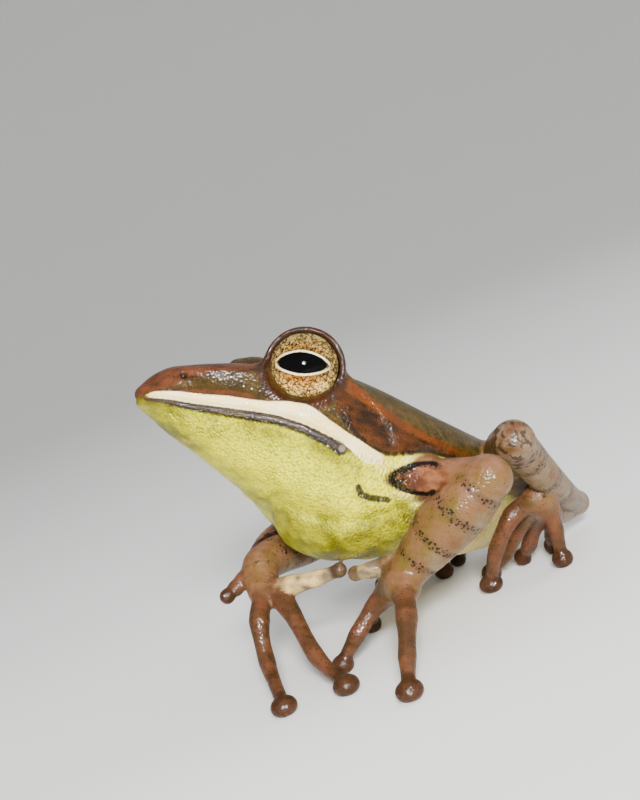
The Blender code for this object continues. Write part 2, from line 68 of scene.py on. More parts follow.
# the spine's heading behind the snout: distance, turn to the right, pitch and roll in degrees
HEADINGS = (
    (0.0, 29.0, 31.0, 8.0),
    (15.0, 29.0, 31.0, 8.0),
    (19.0, 28.0, 38.0, 7.0),
    (24.0, 22.0, 42.0, 5.0),
    (30.0, 13.0, 36.0, 2.0),
    (38.0, 5.0, 30.0, 0.0),
    (44.0, 0.0, 26.0, 0.0),
    (52.0, 0.0, 20.0, 0.0),
)
# cross sections: distance, half width, height above and depth below the spine, squareness of both
SECTIONS = (
    (0.0, 2.1, 2.6, 0.8, 2.2, 2.0),
    (2.0, 3.0, 3.2, 1.4, 2.5, 2.0),
    (4.0, 3.9, 3.75, 2.6, 2.8, 2.0),
    (7.0, 5.2, 4.4, 4.0, 3.0, 2.0),
    (10.0, 6.7, 4.8, 5.6, 3.0, 2.0),
    (14.0, 8.4, 4.7, 7.5, 2.7, 2.1),
    (18.0, 9.3, 5.6, 10.2, 2.5, 2.2),
    (22.0, 9.2, 5.5, 11.7, 2.3, 2.4),
    (25.0, 9.2, 5.3, 11.1, 2.2, 2.5),
    (29.0, 9.0, 5.0, 9.3, 2.2, 2.5),
    (34.0, 7.9, 4.9, 8.6, 2.2, 2.3),
    (39.0, 6.8, 4.6, 7.2, 2.2, 2.1),
    (44.0, 5.9, 4.2, 5.6, 2.1, 2.1),
    (50.0, 3.8, 3.2, 3.4, 2.0, 2.0),
)

# the eye: how far behind the snout, to the side and up, its radius, how far the ball stands out of its
# socket, and how far it looks forward, to its side and up
EYE_STATION = 14.2
EYE_SIDE = 6.0
EYE_HEIGHT = 4.3
EYE_RADIUS = 3.4
EYE_FORWARD = 0.35
GAZE = (0.50, 0.86, -0.13)
# the lids: a ball cut off by a plane, with a round rim at a distance from the gaze, and a low ring outside it
LID_RADIUS = 3.8
LID_PLANE = 0.95
LID_EDGE = 0.5
LID_BLEND = 1.6
LID_RIM = (3.55, 0.2)
RIM_BLEND = 0.3
RING_REACH = 3.8
RING_WIDTH = 0.22
RING_HEIGHT = 0.16
RING_START = 0.5
# half width of the band in the lid's own colour
LID_BAND = 0.6

# height of the mouth line above the spine, by distance behind the snout tip
MOUTH_LINE = (
    (0.0, -0.05), (1.1, -0.12), (4.1, -0.45), (7.3, -0.6), (9.3, -0.72), (11.3, -0.9), (13.5, -1.4),
    (16.0, -2.2), (17.6, -2.85),
)
MOUTH_END = MOUTH_LINE[-1][0]
# in side view: the ridge from nostril to eye, the fold at the end of the throat and the one over the eardrum
CANTHUS = ((3.9, 2.8), (4.6, 2.8), (5.6, 2.95), (7.3, 3.2), (8.8, 3.15), (9.9, 3.2), (11.2, 3.8))
THROAT_FOLD = (
    (14.3, -7.4), (16.1, -8.3), (17.9, -9.0), (19.6, -9.2), (21.0, -9.1), (22.4, -8.5), (23.7, -7.8),
    (24.9, -6.7), (26.0, -5.6),
)
EAR_FOLD = ((17.6, 3.9), (18.6, 3.0), (20.0, 1.8), (21.4, 0.5), (22.6, -1.2))
# in side view: middle and radius of the nostril and of the eardrum
NOSTRIL = (3.3, 2.1)
NOSTRIL_RADIUS = 0.3
EARDRUM = (18.7, 0.1)
EARDRUM_RADIUS = 1.3
# rolls and grooves of skin: distance from their line or point, width, and height, below zero for a groove
MOUTH_ROLLS = (
    (0.8, 0.5, 0.16), (0.0, 0.15, -0.42), (-0.55, 0.4, 0.096), (-1.05, 0.3, -0.1), (-2.0, 0.7, 0.1),
)
CANTHUS_ROLLS = ((0.0, 0.4, 0.2),)
THROAT_ROLLS = ((1.0, 0.6, 0.21), (0.0, 0.4, -0.3))
EAR_FOLD_ROLLS = ((0.0, 0.5, 0.36),)
NOSTRIL_ROLLS = ((0.0, 0.75, 0.34), (0.0, NOSTRIL_RADIUS, -0.8))
EARDRUM_ROLLS = ((EARDRUM_RADIUS, 0.2, 0.1), (0.0, EARDRUM_RADIUS, -0.07))
CHEST_FOLD_HEIGHT = 0.14
# hollow of the cheek below the ridge: distance, height, reach of both, and its depth
LORE = (6.8, 1.7, 2.6, 0.9)
LORE_DEPTH = 0.34

# joints of the limbs
JOINTS = {
    "left": {
        "shoulder": (2.2, -11.2, 16.1), "elbow": (12.5, -11.4, 14.0), "wrist": (2.4, -14.7, 7.5),
        "palm": (2.8, -16.4, 6.6), "hip": (3.0, 9.4, 7.1), "knee": (13.2, -5.9, 15.7),
        "heel": (6.8, 14.7, 3.1), "instep": (9.9, 1.3, 8.0),
    },
    "right": {
        "shoulder": (-7.7, -6.3, 13.8), "elbow": (-15.1, -3.0, 9.6), "wrist": (-14.3, -14.6, 10.9),
        "palm": (-13.4, -16.5, 8.8), "hip": (-3.0, 9.4, 7.1), "knee": (-17.0, 0.5, 16.0),
        "heel": (-9.6, 19.2, 3.1), "instep": (-12.6, 11.0, 6.5),
    },
}
# bones: first joint, last joint, radii along them, and how far the middle bows out to the side and up
BONES = {
    "upper_arm": ("shoulder", "elbow", (2.0, 1.8, 1.9, 2.1), {"left": (0.0, 0.0), "right": (-0.8, 0.3)}),
    "forearm": ("elbow", "wrist", (2.2, 2.8, 2.5, 1.75), {"left": (0.0, 0.1), "right": (0.0, 0.7)}),
    "palm": ("wrist", "palm", (1.7, 1.7, 1.65, 1.6), {"left": (0.0, 0.0), "right": (0.0, 0.0)}),
    "thigh": ("hip", "knee", (2.8, 2.8, 2.5, 2.0), {"left": (-0.3, 0.9), "right": (0.3, 0.5)}),
    "shank": ("knee", "heel", (1.95, 1.75, 1.5, 1.2), {"left": (0.3, -1.3), "right": (-1.5, -0.6)}),
    "tarsus": ("heel", "instep", (1.25, 1.15, 1.15, 1.2), {"left": (-0.9, -1.2), "right": (0.0, -0.2)}),
}
# digits: root joint, knuckles, tip, and the pad's radius
DIGITS = {
    "left": {
        "finger_1": ("palm", ((1.2, -15.3, 8.6), (-0.4, -16.1, 8.8)), (-2.0, -16.3, 8.8), 0.75),
        "finger_2": ("palm", ((0.5, -15.4, 6.8), (-3.5, -12.3, 4.5)), (-8.3, -8.4, 1.0), 1.10),
        "finger_3": ("palm", ((-1.2, -15.6, 5.3), (-3.3, -17.6, 3.2)), (-5.3, -18.8, 1.0), 1.12),
        "finger_4": ("palm", ((5.1, -20.8, 5.1), (6.2, -24.2, 2.8)), (7.3, -27.1, 1.0), 1.30),
        "toe_1": ("instep", ((8.4, 4.8, 4.8), (6.7, 7.0, 2.1)), (5.8, 7.8, 0.9), 0.80),
        "toe_2": ("instep", ((7.6, 3.4, 5.4), (5.0, 4.8, 2.3)), (3.4, 5.4, 1.0), 0.95),
        "toe_3": ("instep", ((7.2, 1.2, 5.9), (3.6, 1.8, 2.6)), (1.2, 2.0, 1.0), 1.12),
        "toe_4": ("instep", ((8.3, -2.2, 7.6), (5.6, -2.9, 4.6)), (3.0, -1.8, 1.0), 1.25),
        "toe_5": ("instep", ((10.2, 1.9, 6.5), (9.9, 2.3, 4.0)), (9.4, 2.6, 1.0), 1.12),
    },
    "right": {
        "finger_1": ("palm", ((-9.4, -16.6, 8.9), (-6.6, -16.3, 9.0)), (-4.0, -15.9, 9.3), 0.75),
        "finger_2": ("palm", ((-10.0, -18.0, 7.2), (-6.0, -21.3, 3.0)), (-1.5, -24.1, 1.0), 1.30),
        "finger_3": ("palm", ((-11.9, -20.5, 7.0), (-11.2, -22.3, 3.4)), (-6.7, -27.3, 1.0), 1.30),
        "finger_4": ("palm", ((-15.4, -16.1, 10.2), (-16.2, -17.2, 9.8)), (-16.8, -18.2, 9.4), 0.80),
        "toe_1": ("instep", ((-10.6, 12.2, 4.4), (-9.0, 12.4, 2.1)), (-8.3, 12.4, 0.9), 0.80),
        "toe_2": ("instep", ((-10.4, 11.0, 4.8), (-8.0, 9.8, 2.3)), (-6.9, 9.2, 1.0), 0.95),
        "toe_3": ("instep", ((-11.0, 9.6, 5.2), (-8.4, 7.0, 2.6)), (-6.8, 5.6, 1.0), 1.12),
        "toe_4": ("instep", ((-12.4, 8.2, 5.6), (-11.2, 4.4, 3.2)), (-10.0, 1.2, 1.0), 1.12),
        "toe_5": ("instep", ((-13.8, 9.4, 5.2), (-14.4, 6.6, 2.6)), (-14.4, 4.6, 1.0), 1.12),
    },
}
ARM = ("upper_arm", "forearm", "palm")
LEG = ("thigh", "shank", "tarsus")
# how far along a bone its two middle points are, which the bows move
BOW_PLACES = (0.33, 0.67)
# radii of a digit at its root, middle and end, its knuckles, and its pad, which is flat on the floor
DIGIT_RADII = (1.2, 0.86, 0.66)
KNUCKLE_SWELL = 0.15
KNUCKLE_WIDTH = 0.25
PAD_LIFT = 0.85
PAD_HEIGHT = 0.98
PAD_BLEND = 0.22
ON_GROUND = 1.05
SOLE_EDGE = 0.12
# how far the skin fills the forks between digits, and the toes have short webs
FORK = {"finger": 0.7, "toe": 1.0}
# reach of the blend where a limb leaves the trunk, inside a fold and elsewhere, and how far it spreads
ROOT_REACH = 2.6
ROOT_SPREAD = 4.2
FOLD_REACH = 0.5
FOLD_SPREAD = 3.2
CREASE_REACH = 0.2
# the legs' colour runs softly into the back's from this far behind the snout tip
HIP_STATION = 33.0
HIP_WIDTH = 4.0
HIP_BLEND = 0.8

# borders in side view that two markings share: distance behind the snout tip, height above the spine
JAW_EDGE = (
    (17.4, -3.75), (16.9, -3.5), (16.1, -3.15), (13.7, -2.35), (11.5, -1.75), (9.4, -1.6), (7.3, -1.38),
    (4.1, -1.05), (2.4, -0.76),
)
FLANK_TOP = ((17.9, 1.95), (18.8, 1.6), (19.5, 1.2), (20.7, 0.8), (22.4, 0.3), (24.6, 0.1), (26.8, 0.0))
# outlines of the markings in side view
OUTLINES = {
    # the cream stripe from the snout over the mouth to the shoulder
    "cream": (
        (0.5, 0.1), (1.0, 0.4), (2.8, 0.43), (4.9, 0.37), (7.0, 0.44), (9.1, 0.24), (10.4, 0.22),
        (12.1, 0.4), (13.3, 0.35), (14.3, 0.05), (15.7, -0.8), (17.4, -1.6), (19.0, -2.05), (20.1, -2.4),
        (21.4, -2.7), (21.6, -3.6), (20.0, -3.9), (18.6, -3.3), (17.4, -2.6), *MOUTH_LINE[-2:0:-1],
    ),
    # the dark band along the lower lip
    "mouth": (
        (0.1, -0.05), *MOUTH_LINE[1:-1], (17.3, -2.65), (17.9, -3.0), (17.9, -3.6), *JAW_EDGE, (0.6, -0.4),
    ),
    # painted shade: darker olive along the jaw, below the lip
    "olive": (
        (-1.0, -0.4), (2.4, -0.7), (7.3, -1.35), (11.5, -1.7), (16.1, -3.1), (17.7, -3.7), (19.0, -3.6),
        (19.5, -4.6), (16.6, -4.3), (14.0, -3.6), (10.5, -3.4), (7.8, -3.0), (4.6, -2.5), (1.0, -2.5),
        (-1.0, -2.5),
    ),
    # the red skin between the cheek's hollow and the lip
    "lip_red": (
        (1.0, 0.4), (2.8, 0.43), (4.9, 0.37), (7.0, 0.44), (9.1, 0.24), (9.1, 0.85), (7.1, 1.0), (4.9, 0.9),
        (2.8, 0.8),
    ),
    # painted shade: darker olive on the chest, behind the throat's fold
    "chest": ((12.5, -7.4), *THROAT_FOLD, (28.5, -5.6), (30.0, -14.0), (12.5, -14.0)),
    # the orange line from the eye along the flank, and the dark skin below it
    "orange": (
        (17.1, 3.9), (18.0, 3.25), (18.8, 2.8), (19.6, 2.1), (21.3, 1.8), (22.3, 1.3), (24.5, 0.8),
        (26.7, 0.6), (29.2, 0.35), (31.5, 0.2), (28.6, -0.1), *reversed(FLANK_TOP), (17.1, 2.4),
    ),
    "flank": (
        (16.6, 2.4), *FLANK_TOP, (29.2, -0.1), (28.6, -0.6), (26.9, -0.9), (24.8, -1.3), (23.0, -2.1),
        (22.1, -2.5), (21.1, -2.5), (20.0, -2.35), (18.9, -1.85), (18.0, -1.2), (17.1, -0.6), (16.2, 0.3),
        (16.2, 1.6),
    ),
    "snout": (
        (-1.5, -0.2), (0.5, 0.1), (1.0, 0.4), (2.2, 0.9), (3.8, 1.9), (6.4, 2.6), (8.1, 2.9), (9.6, 3.4),
        (11.0, 4.6), (12.0, 9.0), (-1.5, 9.0),
    ),
    # the pale skin in front of the upper arm
    "shoulder": (
        (19.0, -2.2), (21.5, -2.6), (24.0, -1.8), (28.0, -1.0), (28.5, -3.4), (26.0, -6.2), (23.6, -6.0),
        (21.8, -4.6), (20.2, -3.8),
    ),
}
# lines of colour in side view: half width, and the points they run through
LINES = {
    # painted light: the brightest yellow, a pool of light along the middle of the throat's side
    "glow": (1.3, ((8.5, -3.9), (12.6, -5.0), (16.5, -6.3), (20.6, -7.3))),
    # the dark line in front of the eye
    "cheek_line": (0.13, ((3.8, 1.95), (5.0, 2.25), (6.4, 2.6), (8.1, 2.95), (9.6, 3.5))),
    "flank_edge": (0.2, (
        (17.0, -0.5), (18.0, -1.15), (18.9, -1.8), (20.0, -2.3), (21.1, -2.45), (22.1, -2.45), (23.0, -2.05),
        (24.8, -1.25), (26.9, -0.85), (28.4, -0.55))),
    "mouth_edge": (0.12, JAW_EDGE),
    # the dark winding line in front of the arm
    "squiggle": (0.3, ((20.1, -6.1), (20.6, -6.6), (21.6, -6.75), (23.1, -6.5))),
}
MOUTH_CORNER = (17.45, -3.15)
MOUTH_CORNER_RADIUS = 0.32
# lower border of the brown skin, below which the throat and belly are pale
BELLY_BORDER = (
    (-1.0, -0.6), (3.0, -0.9), (8.0, -1.2), (13.5, -2.2), (17.5, -3.6), (19.0, -3.3), (21.5, -2.9),
    (24.0, -2.0), (27.0, -1.2), (30.0, -1.8), (36.0, -2.2), (44.0, -2.0), (52.0, -1.2),
)
ABDOMEN_STATION = 27.5
# painted shade: the darker stripe down the middle of the throat's front: half width, and where it ends
CHIN_SHADE_STRIPE = (1.4, 13.5)
# the dark cheek in front of the eye: where it ends, and its lowest and highest point
CHEEK = (12.0, 0.1, 2.5)
# the saddle on the back, seen from above: distance behind the snout tip, half width, and what is taken off
# that below a height above the spine
SADDLE = (
    (11.5, 4.5), (14.5, 3.0), (17.5, 1.6), (20.5, 2.6), (23.5, 4.2), (26.0, 3.2), (28.5, 1.9), (31.5, 1.6),
    (34.5, 2.8), (37.5, 4.0), (39.0, 2.0), (39.5, 0.0),
)
SADDLE_CUT = 6.0
SADDLE_LOWEST = 1.0
# the glossy patch on each upper arm: how far along the bone, the way it faces, half its length and width,
# and how far its dark rim reaches towards the elbow
ARM_PATCH = {"left": (4.7, (0.585, -0.805, 0.105)), "right": (5.2, (-0.585, -0.805, 0.105))}
ARM_PATCH_SIZE = (2.9, 1.65)
RIM_REACH = 1.6
RIM_WIDTH = 0.5
# dark bars across the limbs: distance from the bone's first joint, and half width
BARS = {
    "forearm": ((1.6, 0.5), (4.3, 0.45), (7.6, 0.4), (9.8, 0.35)),
    "palm": ((0.4, 0.3),),
    "thigh": ((7.0, 0.7), (11.5, 0.7), (16.0, 0.7)),
    "shank": ((4.0, 0.6), (9.0, 0.7), (14.0, 0.7), (19.0, 0.6)),
    "tarsus": ((3.0, 0.5), (7.5, 0.5), (12.0, 0.5)),
}
# how far along a digit its own colour starts, and the pale one of the first finger
DIGIT_START = 1.5
PALE_START = 3.4
KNEE_RADIUS = 2.9
# width over which the limbs' markings take over from the body's, and the distance up to which they are kept
LIMB_CHANGE = 0.6
LIMB_REACH = 3.0
# how much larger the specks are in a marking, or smaller below zero, and over what width that changes
SPECK_GROWTH = {"disc": (-0.1, 0.3), "patch": (-0.8, 0.3), "pale_finger": (-0.1, 1.0), "digit": (0.06, 1.0)}
# a distance that stands for well outside a marking
OUTSIDE = -9.0

# colours of the living animal, some of them also used for painted shade and light, as sRGB hex values
COLOURS = {
    "back": "4a3816", "back_dark": "30240c", "saddle": "1e1206", "snout": "3a1c0e", "snout_bright": "5e321c",
    "lore": "302409", "orange": "68300a", "orange_far": "502a10", "flank": "22140a", "ink": "0e0705",
    "patch": "4a2612", "patch_pale": "8a583a", "cream": "ffdc8c", "cream_pale": "ffecb4",
    "cream_yellow": "fff08c", "mouth": "2a2220", "mouth_brown": "40322b", "corner": "7c7064",
    "throat": "a29e00", "throat_bright": "e6de00", "olive": "5e5804", "abdomen": "e6d890", "arm": "624424",
    "arm_pink": "78523c", "digit": "3a2414", "digit_red": "5c3622", "disc": "30190c", "pale": "786852",
    "knee": "4c2614", "lid": "2c221c", "lid_top": "3a1a0c", "iris": "d07c20", "iris_bright": "ffd880",
    "iris_top": "8c7c48", "bronze": "1e0b03", "eye_border": "140a06", "pupil_edge": "fcf2c4",
    "pupil": "070707", "paper": "ececea",
}


def unit(v):
    v = np.asarray(v, float)
    return v / np.maximum(np.linalg.norm(v, axis=-1, keepdims=True), 1e-12)


def smoothed(values, width):
    """a run of values with its corners softened over a width along the spine"""
    reach = int(3 * width / SPINE_STEP)
    kernel = np.exp(-0.5 * (np.arange(-reach, reach + 1) * SPINE_STEP / width) ** 2)
    return np.convolve(np.pad(values, reach, mode="edge"), kernel / kernel.sum(), mode="valid")


def facing(turn, pitch, roll):
    """forward, left and up directions of a heading given in degrees"""
    turn, pitch, roll = np.radians((turn, pitch, roll))
    forward = np.array((-np.sin(turn) * np.cos(pitch), -np.cos(turn) * np.cos(pitch), np.sin(pitch)))
    left = unit(np.cross((0.0, 0.0, 1.0), forward))
    up = np.cross(forward, left)
    return forward, np.cos(roll) * left + np.sin(roll) * up, np.cos(roll) * up - np.sin(roll) * left


class Spine:
    """the line through head and trunk, with its cross sections"""

    def __init__(self):
        self.s = np.arange(-3.0, BODY_LENGTH + 4.0, SPINE_STEP)
        sections, headings = np.array(SECTIONS), np.array(HEADINGS)
        self.section = np.stack([
            smoothed(np.interp(self.s, sections[:, 0], column), 1.0) for column in sections[:, 1:].T], 1)
        bends = np.stack([
            smoothed(np.interp(self.s, headings[:, 0], column), 1.5) for column in headings[:, 1:].T], 1)
        self.forward, self.left, self.up = (np.array(v) for v in zip(*[facing(*b) for b in bends]))
        line = -np.cumsum(self.forward, 0) * SPINE_STEP
        start = [np.interp(0.0, self.s, line[:, i]) for i in range(3)]
        self.line = line - start + SNOUT_TIP

    def at(self, s, table):
        x = np.clip((np.asarray(s, float) - self.s[0]) / SPINE_STEP, 0, len(self.s) - 1.001)
        i = x.astype(int)
        t = (x - i)[..., None]
        return table[i] * (1 - t) + table[i + 1] * t

    def point(self, s, left, up):
        return self.at(s, self.line) + left * self.at(s, self.left) + up * self.at(s, self.up)

    def stations(self, p):
        """distance behind the snout, and offset to the left and up, of each point"""
        coarse = slice(0, len(self.s), 8)
        away = ((p[:, None, :] - self.line[coarse][None]) ** 2).sum(2)
        s = self.s[coarse][away.argmin(1)]
        for _ in range(5):
            s = s - ((p - self.at(s, self.line)) * self.at(s, self.forward)).sum(1)
            s = np.clip(s, self.s[0], self.s[-1] - SPINE_STEP)
        q = p - self.at(s, self.line)
        ahead = (q * self.at(s, self.forward)).sum(1)
        return s - ahead, (q * self.at(s, self.left)).sum(1), (q * self.at(s, self.up)).sum(1)


SPINE = Spine()


def join(a, b, reach):
    """the nearer of two surfaces, with the crease between them filled over a reach"""
    h = np.maximum(reach - np.abs(a - b), 0) / reach
    return np.minimum(a, b) - h * h * reach / 4


def common(a, b, reach):
    return -join(-a, -b, reach)


def swell(distance, width):
    return np.exp(-((distance / width) ** 2))


def share_of(distance, width):
    """0 where a distance is below zero and 1 where it is above, changing over a width"""
    return np.clip(0.5 + distance / width, 0, 1)


def beside(s, z, points):
    """distance in side view to a line through the given points"""
    nearest = np.full(len(s), 1e9)
    for a, b in zip(points[:-1], points[1:]):
        run, rise = b[0] - a[0], b[1] - a[1]
        t = np.clip(((s - a[0]) * run + (z - a[1]) * rise) / (run ** 2 + rise ** 2), 0, 1)
        nearest = np.minimum(nearest, np.hypot(s - a[0] - t * run, z - a[1] - t * rise))
    return nearest


def inside(s, z, outline):
    """distance in side view to the edge of an outline, above zero inside it"""
    closed = (*outline, outline[0])
    within = np.zeros(len(s), bool)
    for a, b in zip(closed[:-1], closed[1:]):
        level = (a[1] > z) != (b[1] > z)
        if a[1] != b[1]:
            within ^= level & (s < a[0] + (z - a[1]) * (b[0] - a[0]) / (b[1] - a[1]))
    return beside(s, z, closed) * np.where(within, 1, -1)


def rolls(distance, profile):
    """how far the skin stands out or in at a distance from the line or point of its rolls"""
    return sum(height * swell(distance - middle, width) for middle, width, height in profile)


def nostril_distance(s, z):
    """distance from the nostril, seen from the side"""
    return np.hypot(s - NOSTRIL[0], z - NOSTRIL[1])


def above_mouth(s, z):
    return z - np.interp(s, *np.array(MOUTH_LINE).T)


def chest_folds(s, x, z):
    """soft folds across the chest, between -1 and 1"""
    zone = share_of(-z - 4.0, 4.0) * share_of(s - 19.0, 5.0) * share_of(30.0 - s, 4.0)
    waves = np.sin(1.5 * s + 0.5 * x + 0.9 * z + 1.3 * np.sin(0.5 * x - 0.4 * s))
    return zone * waves * (0.6 + 0.4 * np.sin(0.7 * x + 0.3 * s))


def head_relief(s, x, z):
    """how far the skin stands out or in at the lips, nostrils, cheeks, eardrums and folds"""
    relief = rolls(above_mouth(s, z), MOUTH_ROLLS) / (1 + np.exp((s - MOUTH_END) / 0.2))
    relief = relief + CHEST_FOLD_HEIGHT * chest_folds(s, x, z)
    relief = relief - LORE_DEPTH * swell(s - LORE[0], LORE[2]) * swell(z - LORE[1], LORE[3])
    relief = relief + rolls(nostril_distance(s, z), NOSTRIL_ROLLS)
    relief = relief + rolls(np.hypot(s - EARDRUM[0], z - EARDRUM[1]), EARDRUM_ROLLS)
    for line, profile in ((CANTHUS, CANTHUS_ROLLS), (THROAT_FOLD, THROAT_ROLLS), (EAR_FOLD, EAR_FOLD_ROLLS)):
        relief = relief + rolls(beside(s, z, line), profile)
    return relief


def end_rounding(s):
    """how far a station is into the rounding of the nose and of the rump, as shares"""
    nose = np.maximum(NOSE_ROUNDING - s, 0) / NOSE_ROUNDING
    return nose, np.maximum(s - (BODY_LENGTH - RUMP_ROUNDING), 0) / RUMP_ROUNDING


def trunk_field(p):
    s, x, z = SPINE.stations(p)
    width, top, bottom, square_top, square_bottom = SPINE.at(s, SPINE.section).T
    height = np.where(z > 0, top, bottom)
    power = np.where(z > 0, square_top, square_bottom)
    rho = ((np.abs(x) / width + 1e-9) ** power + (np.abs(z) / height + 1e-9) ** power) ** (1 / power)
    radius = np.sqrt(x * x + z * z) / rho
    nose, rump = end_rounding(s)
    return (np.sqrt(rho ** 2 + nose ** 2 + rump ** 2) - 1) * radius - head_relief(s, x, z)


def eye_place(side):
    """centre and outward direction of an eye"""
    centre = SPINE.point(EYE_STATION, side * EYE_SIDE, EYE_HEIGHT)
    forward, left, up = (SPINE.at(EYE_STATION, table) for table in (SPINE.forward, SPINE.left, SPINE.up))
    return centre, unit(GAZE[0] * forward + side * GAZE[1] * left + GAZE[2] * up)


EYES = {"left": eye_place(1), "right": eye_place(-1)}


def eye_offsets(p, eye):
    """distance from an eye's centre, along its gaze and across it"""
    centre, outward = EYES[eye]
    q = p - centre
    away = np.linalg.norm(q, axis=1)
    along = (q * outward).sum(1)
    return away, along, np.sqrt(np.maximum(away ** 2 - along ** 2, 0))


def rim_distance(across, along):
    """distance from the middle of the round rim of a lid"""
    return np.hypot(across - LID_RIM[0], along - LID_PLANE)


def body_field(p):
    f = trunk_field(p)
    for eye in EYES:
        away, along, across = eye_offsets(p, eye)
        f = join(f, common(away - LID_RADIUS, along - LID_PLANE, LID_EDGE), LID_BLEND)
        f = common(f, np.minimum(LID_RIM[0] - across, along - LID_PLANE), RIM_BLEND)
        f = join(f, rim_distance(across, along) - LID_RIM[1], RIM_BLEND)
        f = f - RING_HEIGHT * swell(across - RING_REACH, RING_WIDTH) * share_of(along - RING_START, 1.0)
    return f


def smooth_run(points, steps=5):
    """points and radii along a smooth curve through the given ones"""
    q = np.array(points, float)
    q = np.vstack((2 * q[0] - q[1], q, 2 * q[-1] - q[-2]))
    t = np.linspace(0, 1, steps, endpoint=False)[:, None]
    runs = []
    for i in range(1, len(q) - 2):
        a, b, c, d = q[i - 1:i + 3]
        bend = 2 * a - 5 * b + 4 * c - d
        twist = 3 * b - a - 3 * c + d
        runs.append(b + 0.5 * ((c - a) * t + bend * t ** 2 + twist * t ** 3))
    runs.append(q[-2][None])
    return np.vstack(runs)

def bone_run(name, side):
    start, end, radii, bows = BONES[name]
    a, b = (np.array(JOINTS[side][j]) for j in (start, end))
    bow = np.array((bows[side][0], 0.0, bows[side][1]))
    middle = [a + (b - a) * t + bow for t in BOW_PLACES]
    return smooth_run([(*p, r) for p, r in zip((a, *middle, b), radii)])


def digit_run(name, side):
    root, knuckles, tip, _ = DIGITS[side][name]
    points = (JOINTS[side][root], *knuckles, tip)
    radii = np.interp(np.linspace(0, 1, len(points)), (0.0, 0.5, 1.0), DIGIT_RADII)
    run = smooth_run([(*p, r) for p, r in zip(points, radii)])
    step = np.linspace(0, len(points) - 1, len(run))
    run[:, 3] *= 1 + KNUCKLE_SWELL * (swell(step - 1, KNUCKLE_WIDTH) + swell(step - 2, KNUCKLE_WIDTH) - 0.5)
    return run


RUNS = {
    side: {
        **{name: bone_run(name, side) for name in BONES},
        **{name: digit_run(name, side) for name in DIGITS[side]},
    } for side in JOINTS
}


def near_run(p, run, margin):
    """the numbers of the points in a box round a run"""
    return np.flatnonzero(((p > run[:, :3].min(0) - margin) & (p < run[:, :3].max(0) + margin)).all(1))


def stretch_field(q, a, b):
    """distance to the rod between two points of a run, its length, and the share of it that is passed"""
    d = b[:3] - a[:3]
    t = np.clip((q - a[:3]) @ d / (d @ d), 0, 1)
    away = np.linalg.norm(q - a[:3] - t[:, None] * d, axis=1)
    return away - (a[3] + t * (b[3] - a[3])), np.linalg.norm(d), t


def tube_field(p, run, margin=5.0):
    """distance to a rod along a run, worked out only for the points near it"""
    f = np.full(len(p), 1e3)
    near = near_run(p, run, margin)
    for a, b in zip(run[:-1], run[1:]):
        f[near] = np.minimum(f[near], stretch_field(p[near], a, b)[0])
    return f


def pad_field(p, tip, radius):
    if tip[2] > ON_GROUND:
        return np.linalg.norm(p - tip, axis=1) - radius
    size = np.array((radius, radius, PAD_HEIGHT))
    q = (p - (tip[0], tip[1], PAD_LIFT)) / size
    n = np.linalg.norm(q, axis=1)
    return n * (n - 1) / np.maximum(np.linalg.norm(q / size, axis=1), 1e-9)


def near_joint(p, side, joint):
    """a blend that is wide at a joint and narrow away from it"""
    away = np.linalg.norm(p - JOINTS[side][joint], axis=1)
    return CREASE_REACH + FOLD_REACH * swell(away, FOLD_SPREAD)


def end_field(p, side, bone, kind):
    """a hand or foot: its own bone with its digits"""
    f = tube_field(p, RUNS[side][bone])
    for name, (_, _, tip, radius) in DIGITS[side].items():
        if name.startswith(kind):
            digit = join(tube_field(p, RUNS[side][name]), pad_field(p, np.array(tip), radius), PAD_BLEND)
            f = join(f, digit, FORK[kind])
    return f


def limb_field(p, side, limb):
    first, second, last = limb
    fold, end, kind = ("elbow", "wrist", "finger") if limb is ARM else ("knee", "heel", "toe")
    f = join(tube_field(p, RUNS[side][first]), tube_field(p, RUNS[side][second]), near_joint(p, side, fold))
    return join(f, end_field(p, side, last, kind), near_joint(p, side, end))


def root_of(side, limb):
    """where a limb comes out of the trunk"""
    run = RUNS[side][limb[0]][:, :3]
    return run[np.argmax(body_field(run) > 0)]


ROOTS = {(side, limb): root_of(side, limb) for side in JOINTS for limb in (ARM, LEG)}


def limbs_field(p, body):
    """the body with the limbs, blended where they leave it, and the limbs alone"""
    f, alone = body, np.full(len(p), 1e3)
    for (side, limb), root in ROOTS.items():
        g = limb_field(p, side, limb)
        alone = np.minimum(alone, g)
        f = join(f, g, CREASE_REACH + ROOT_REACH * swell(np.linalg.norm(p - root, axis=1), ROOT_SPREAD))
    return f, alone


def skin_field(p):
    f, _ = limbs_field(p, body_field(p))
    return common(f, -p[:, 2], SOLE_EDGE)


def points_of(mesh):
    flat = np.empty(len(mesh.vertices) * 3, np.float32)
    mesh.vertices.foreach_get("co", flat)
    return flat.reshape(-1, 3).astype(float) / MM


def set_points(mesh, p):
    mesh.vertices.foreach_set("co", (p * MM).astype(np.float32).ravel())
    mesh.update()


def store(mesh, name, values):
    """keeps a number or a direction for each point of a mesh"""
    kind, key = ("FLOAT", "value") if values.ndim == 1 else ("FLOAT_VECTOR", "vector")
    mesh.attributes.new(name, kind, "POINT").data.foreach_set(key, values.astype(np.float32).ravel())


def settled(p, field, steps, nudge=1e-3, longest=0.35):
    """points moved onto a field's zero surface, none further than the longest move in one step"""
    for _ in range(steps):
        f = field(p)
        slope = np.stack([(field(p + nudge * axis) - f) / nudge for axis in np.eye(3)], 1)
        move = -f[:, None] * slope / np.maximum((slope ** 2).sum(1), 0.05)[:, None]
        length = np.linalg.norm(move, axis=1, keepdims=True)
        p = p + move * np.minimum(1, longest / np.maximum(length, 1e-9))
    return p


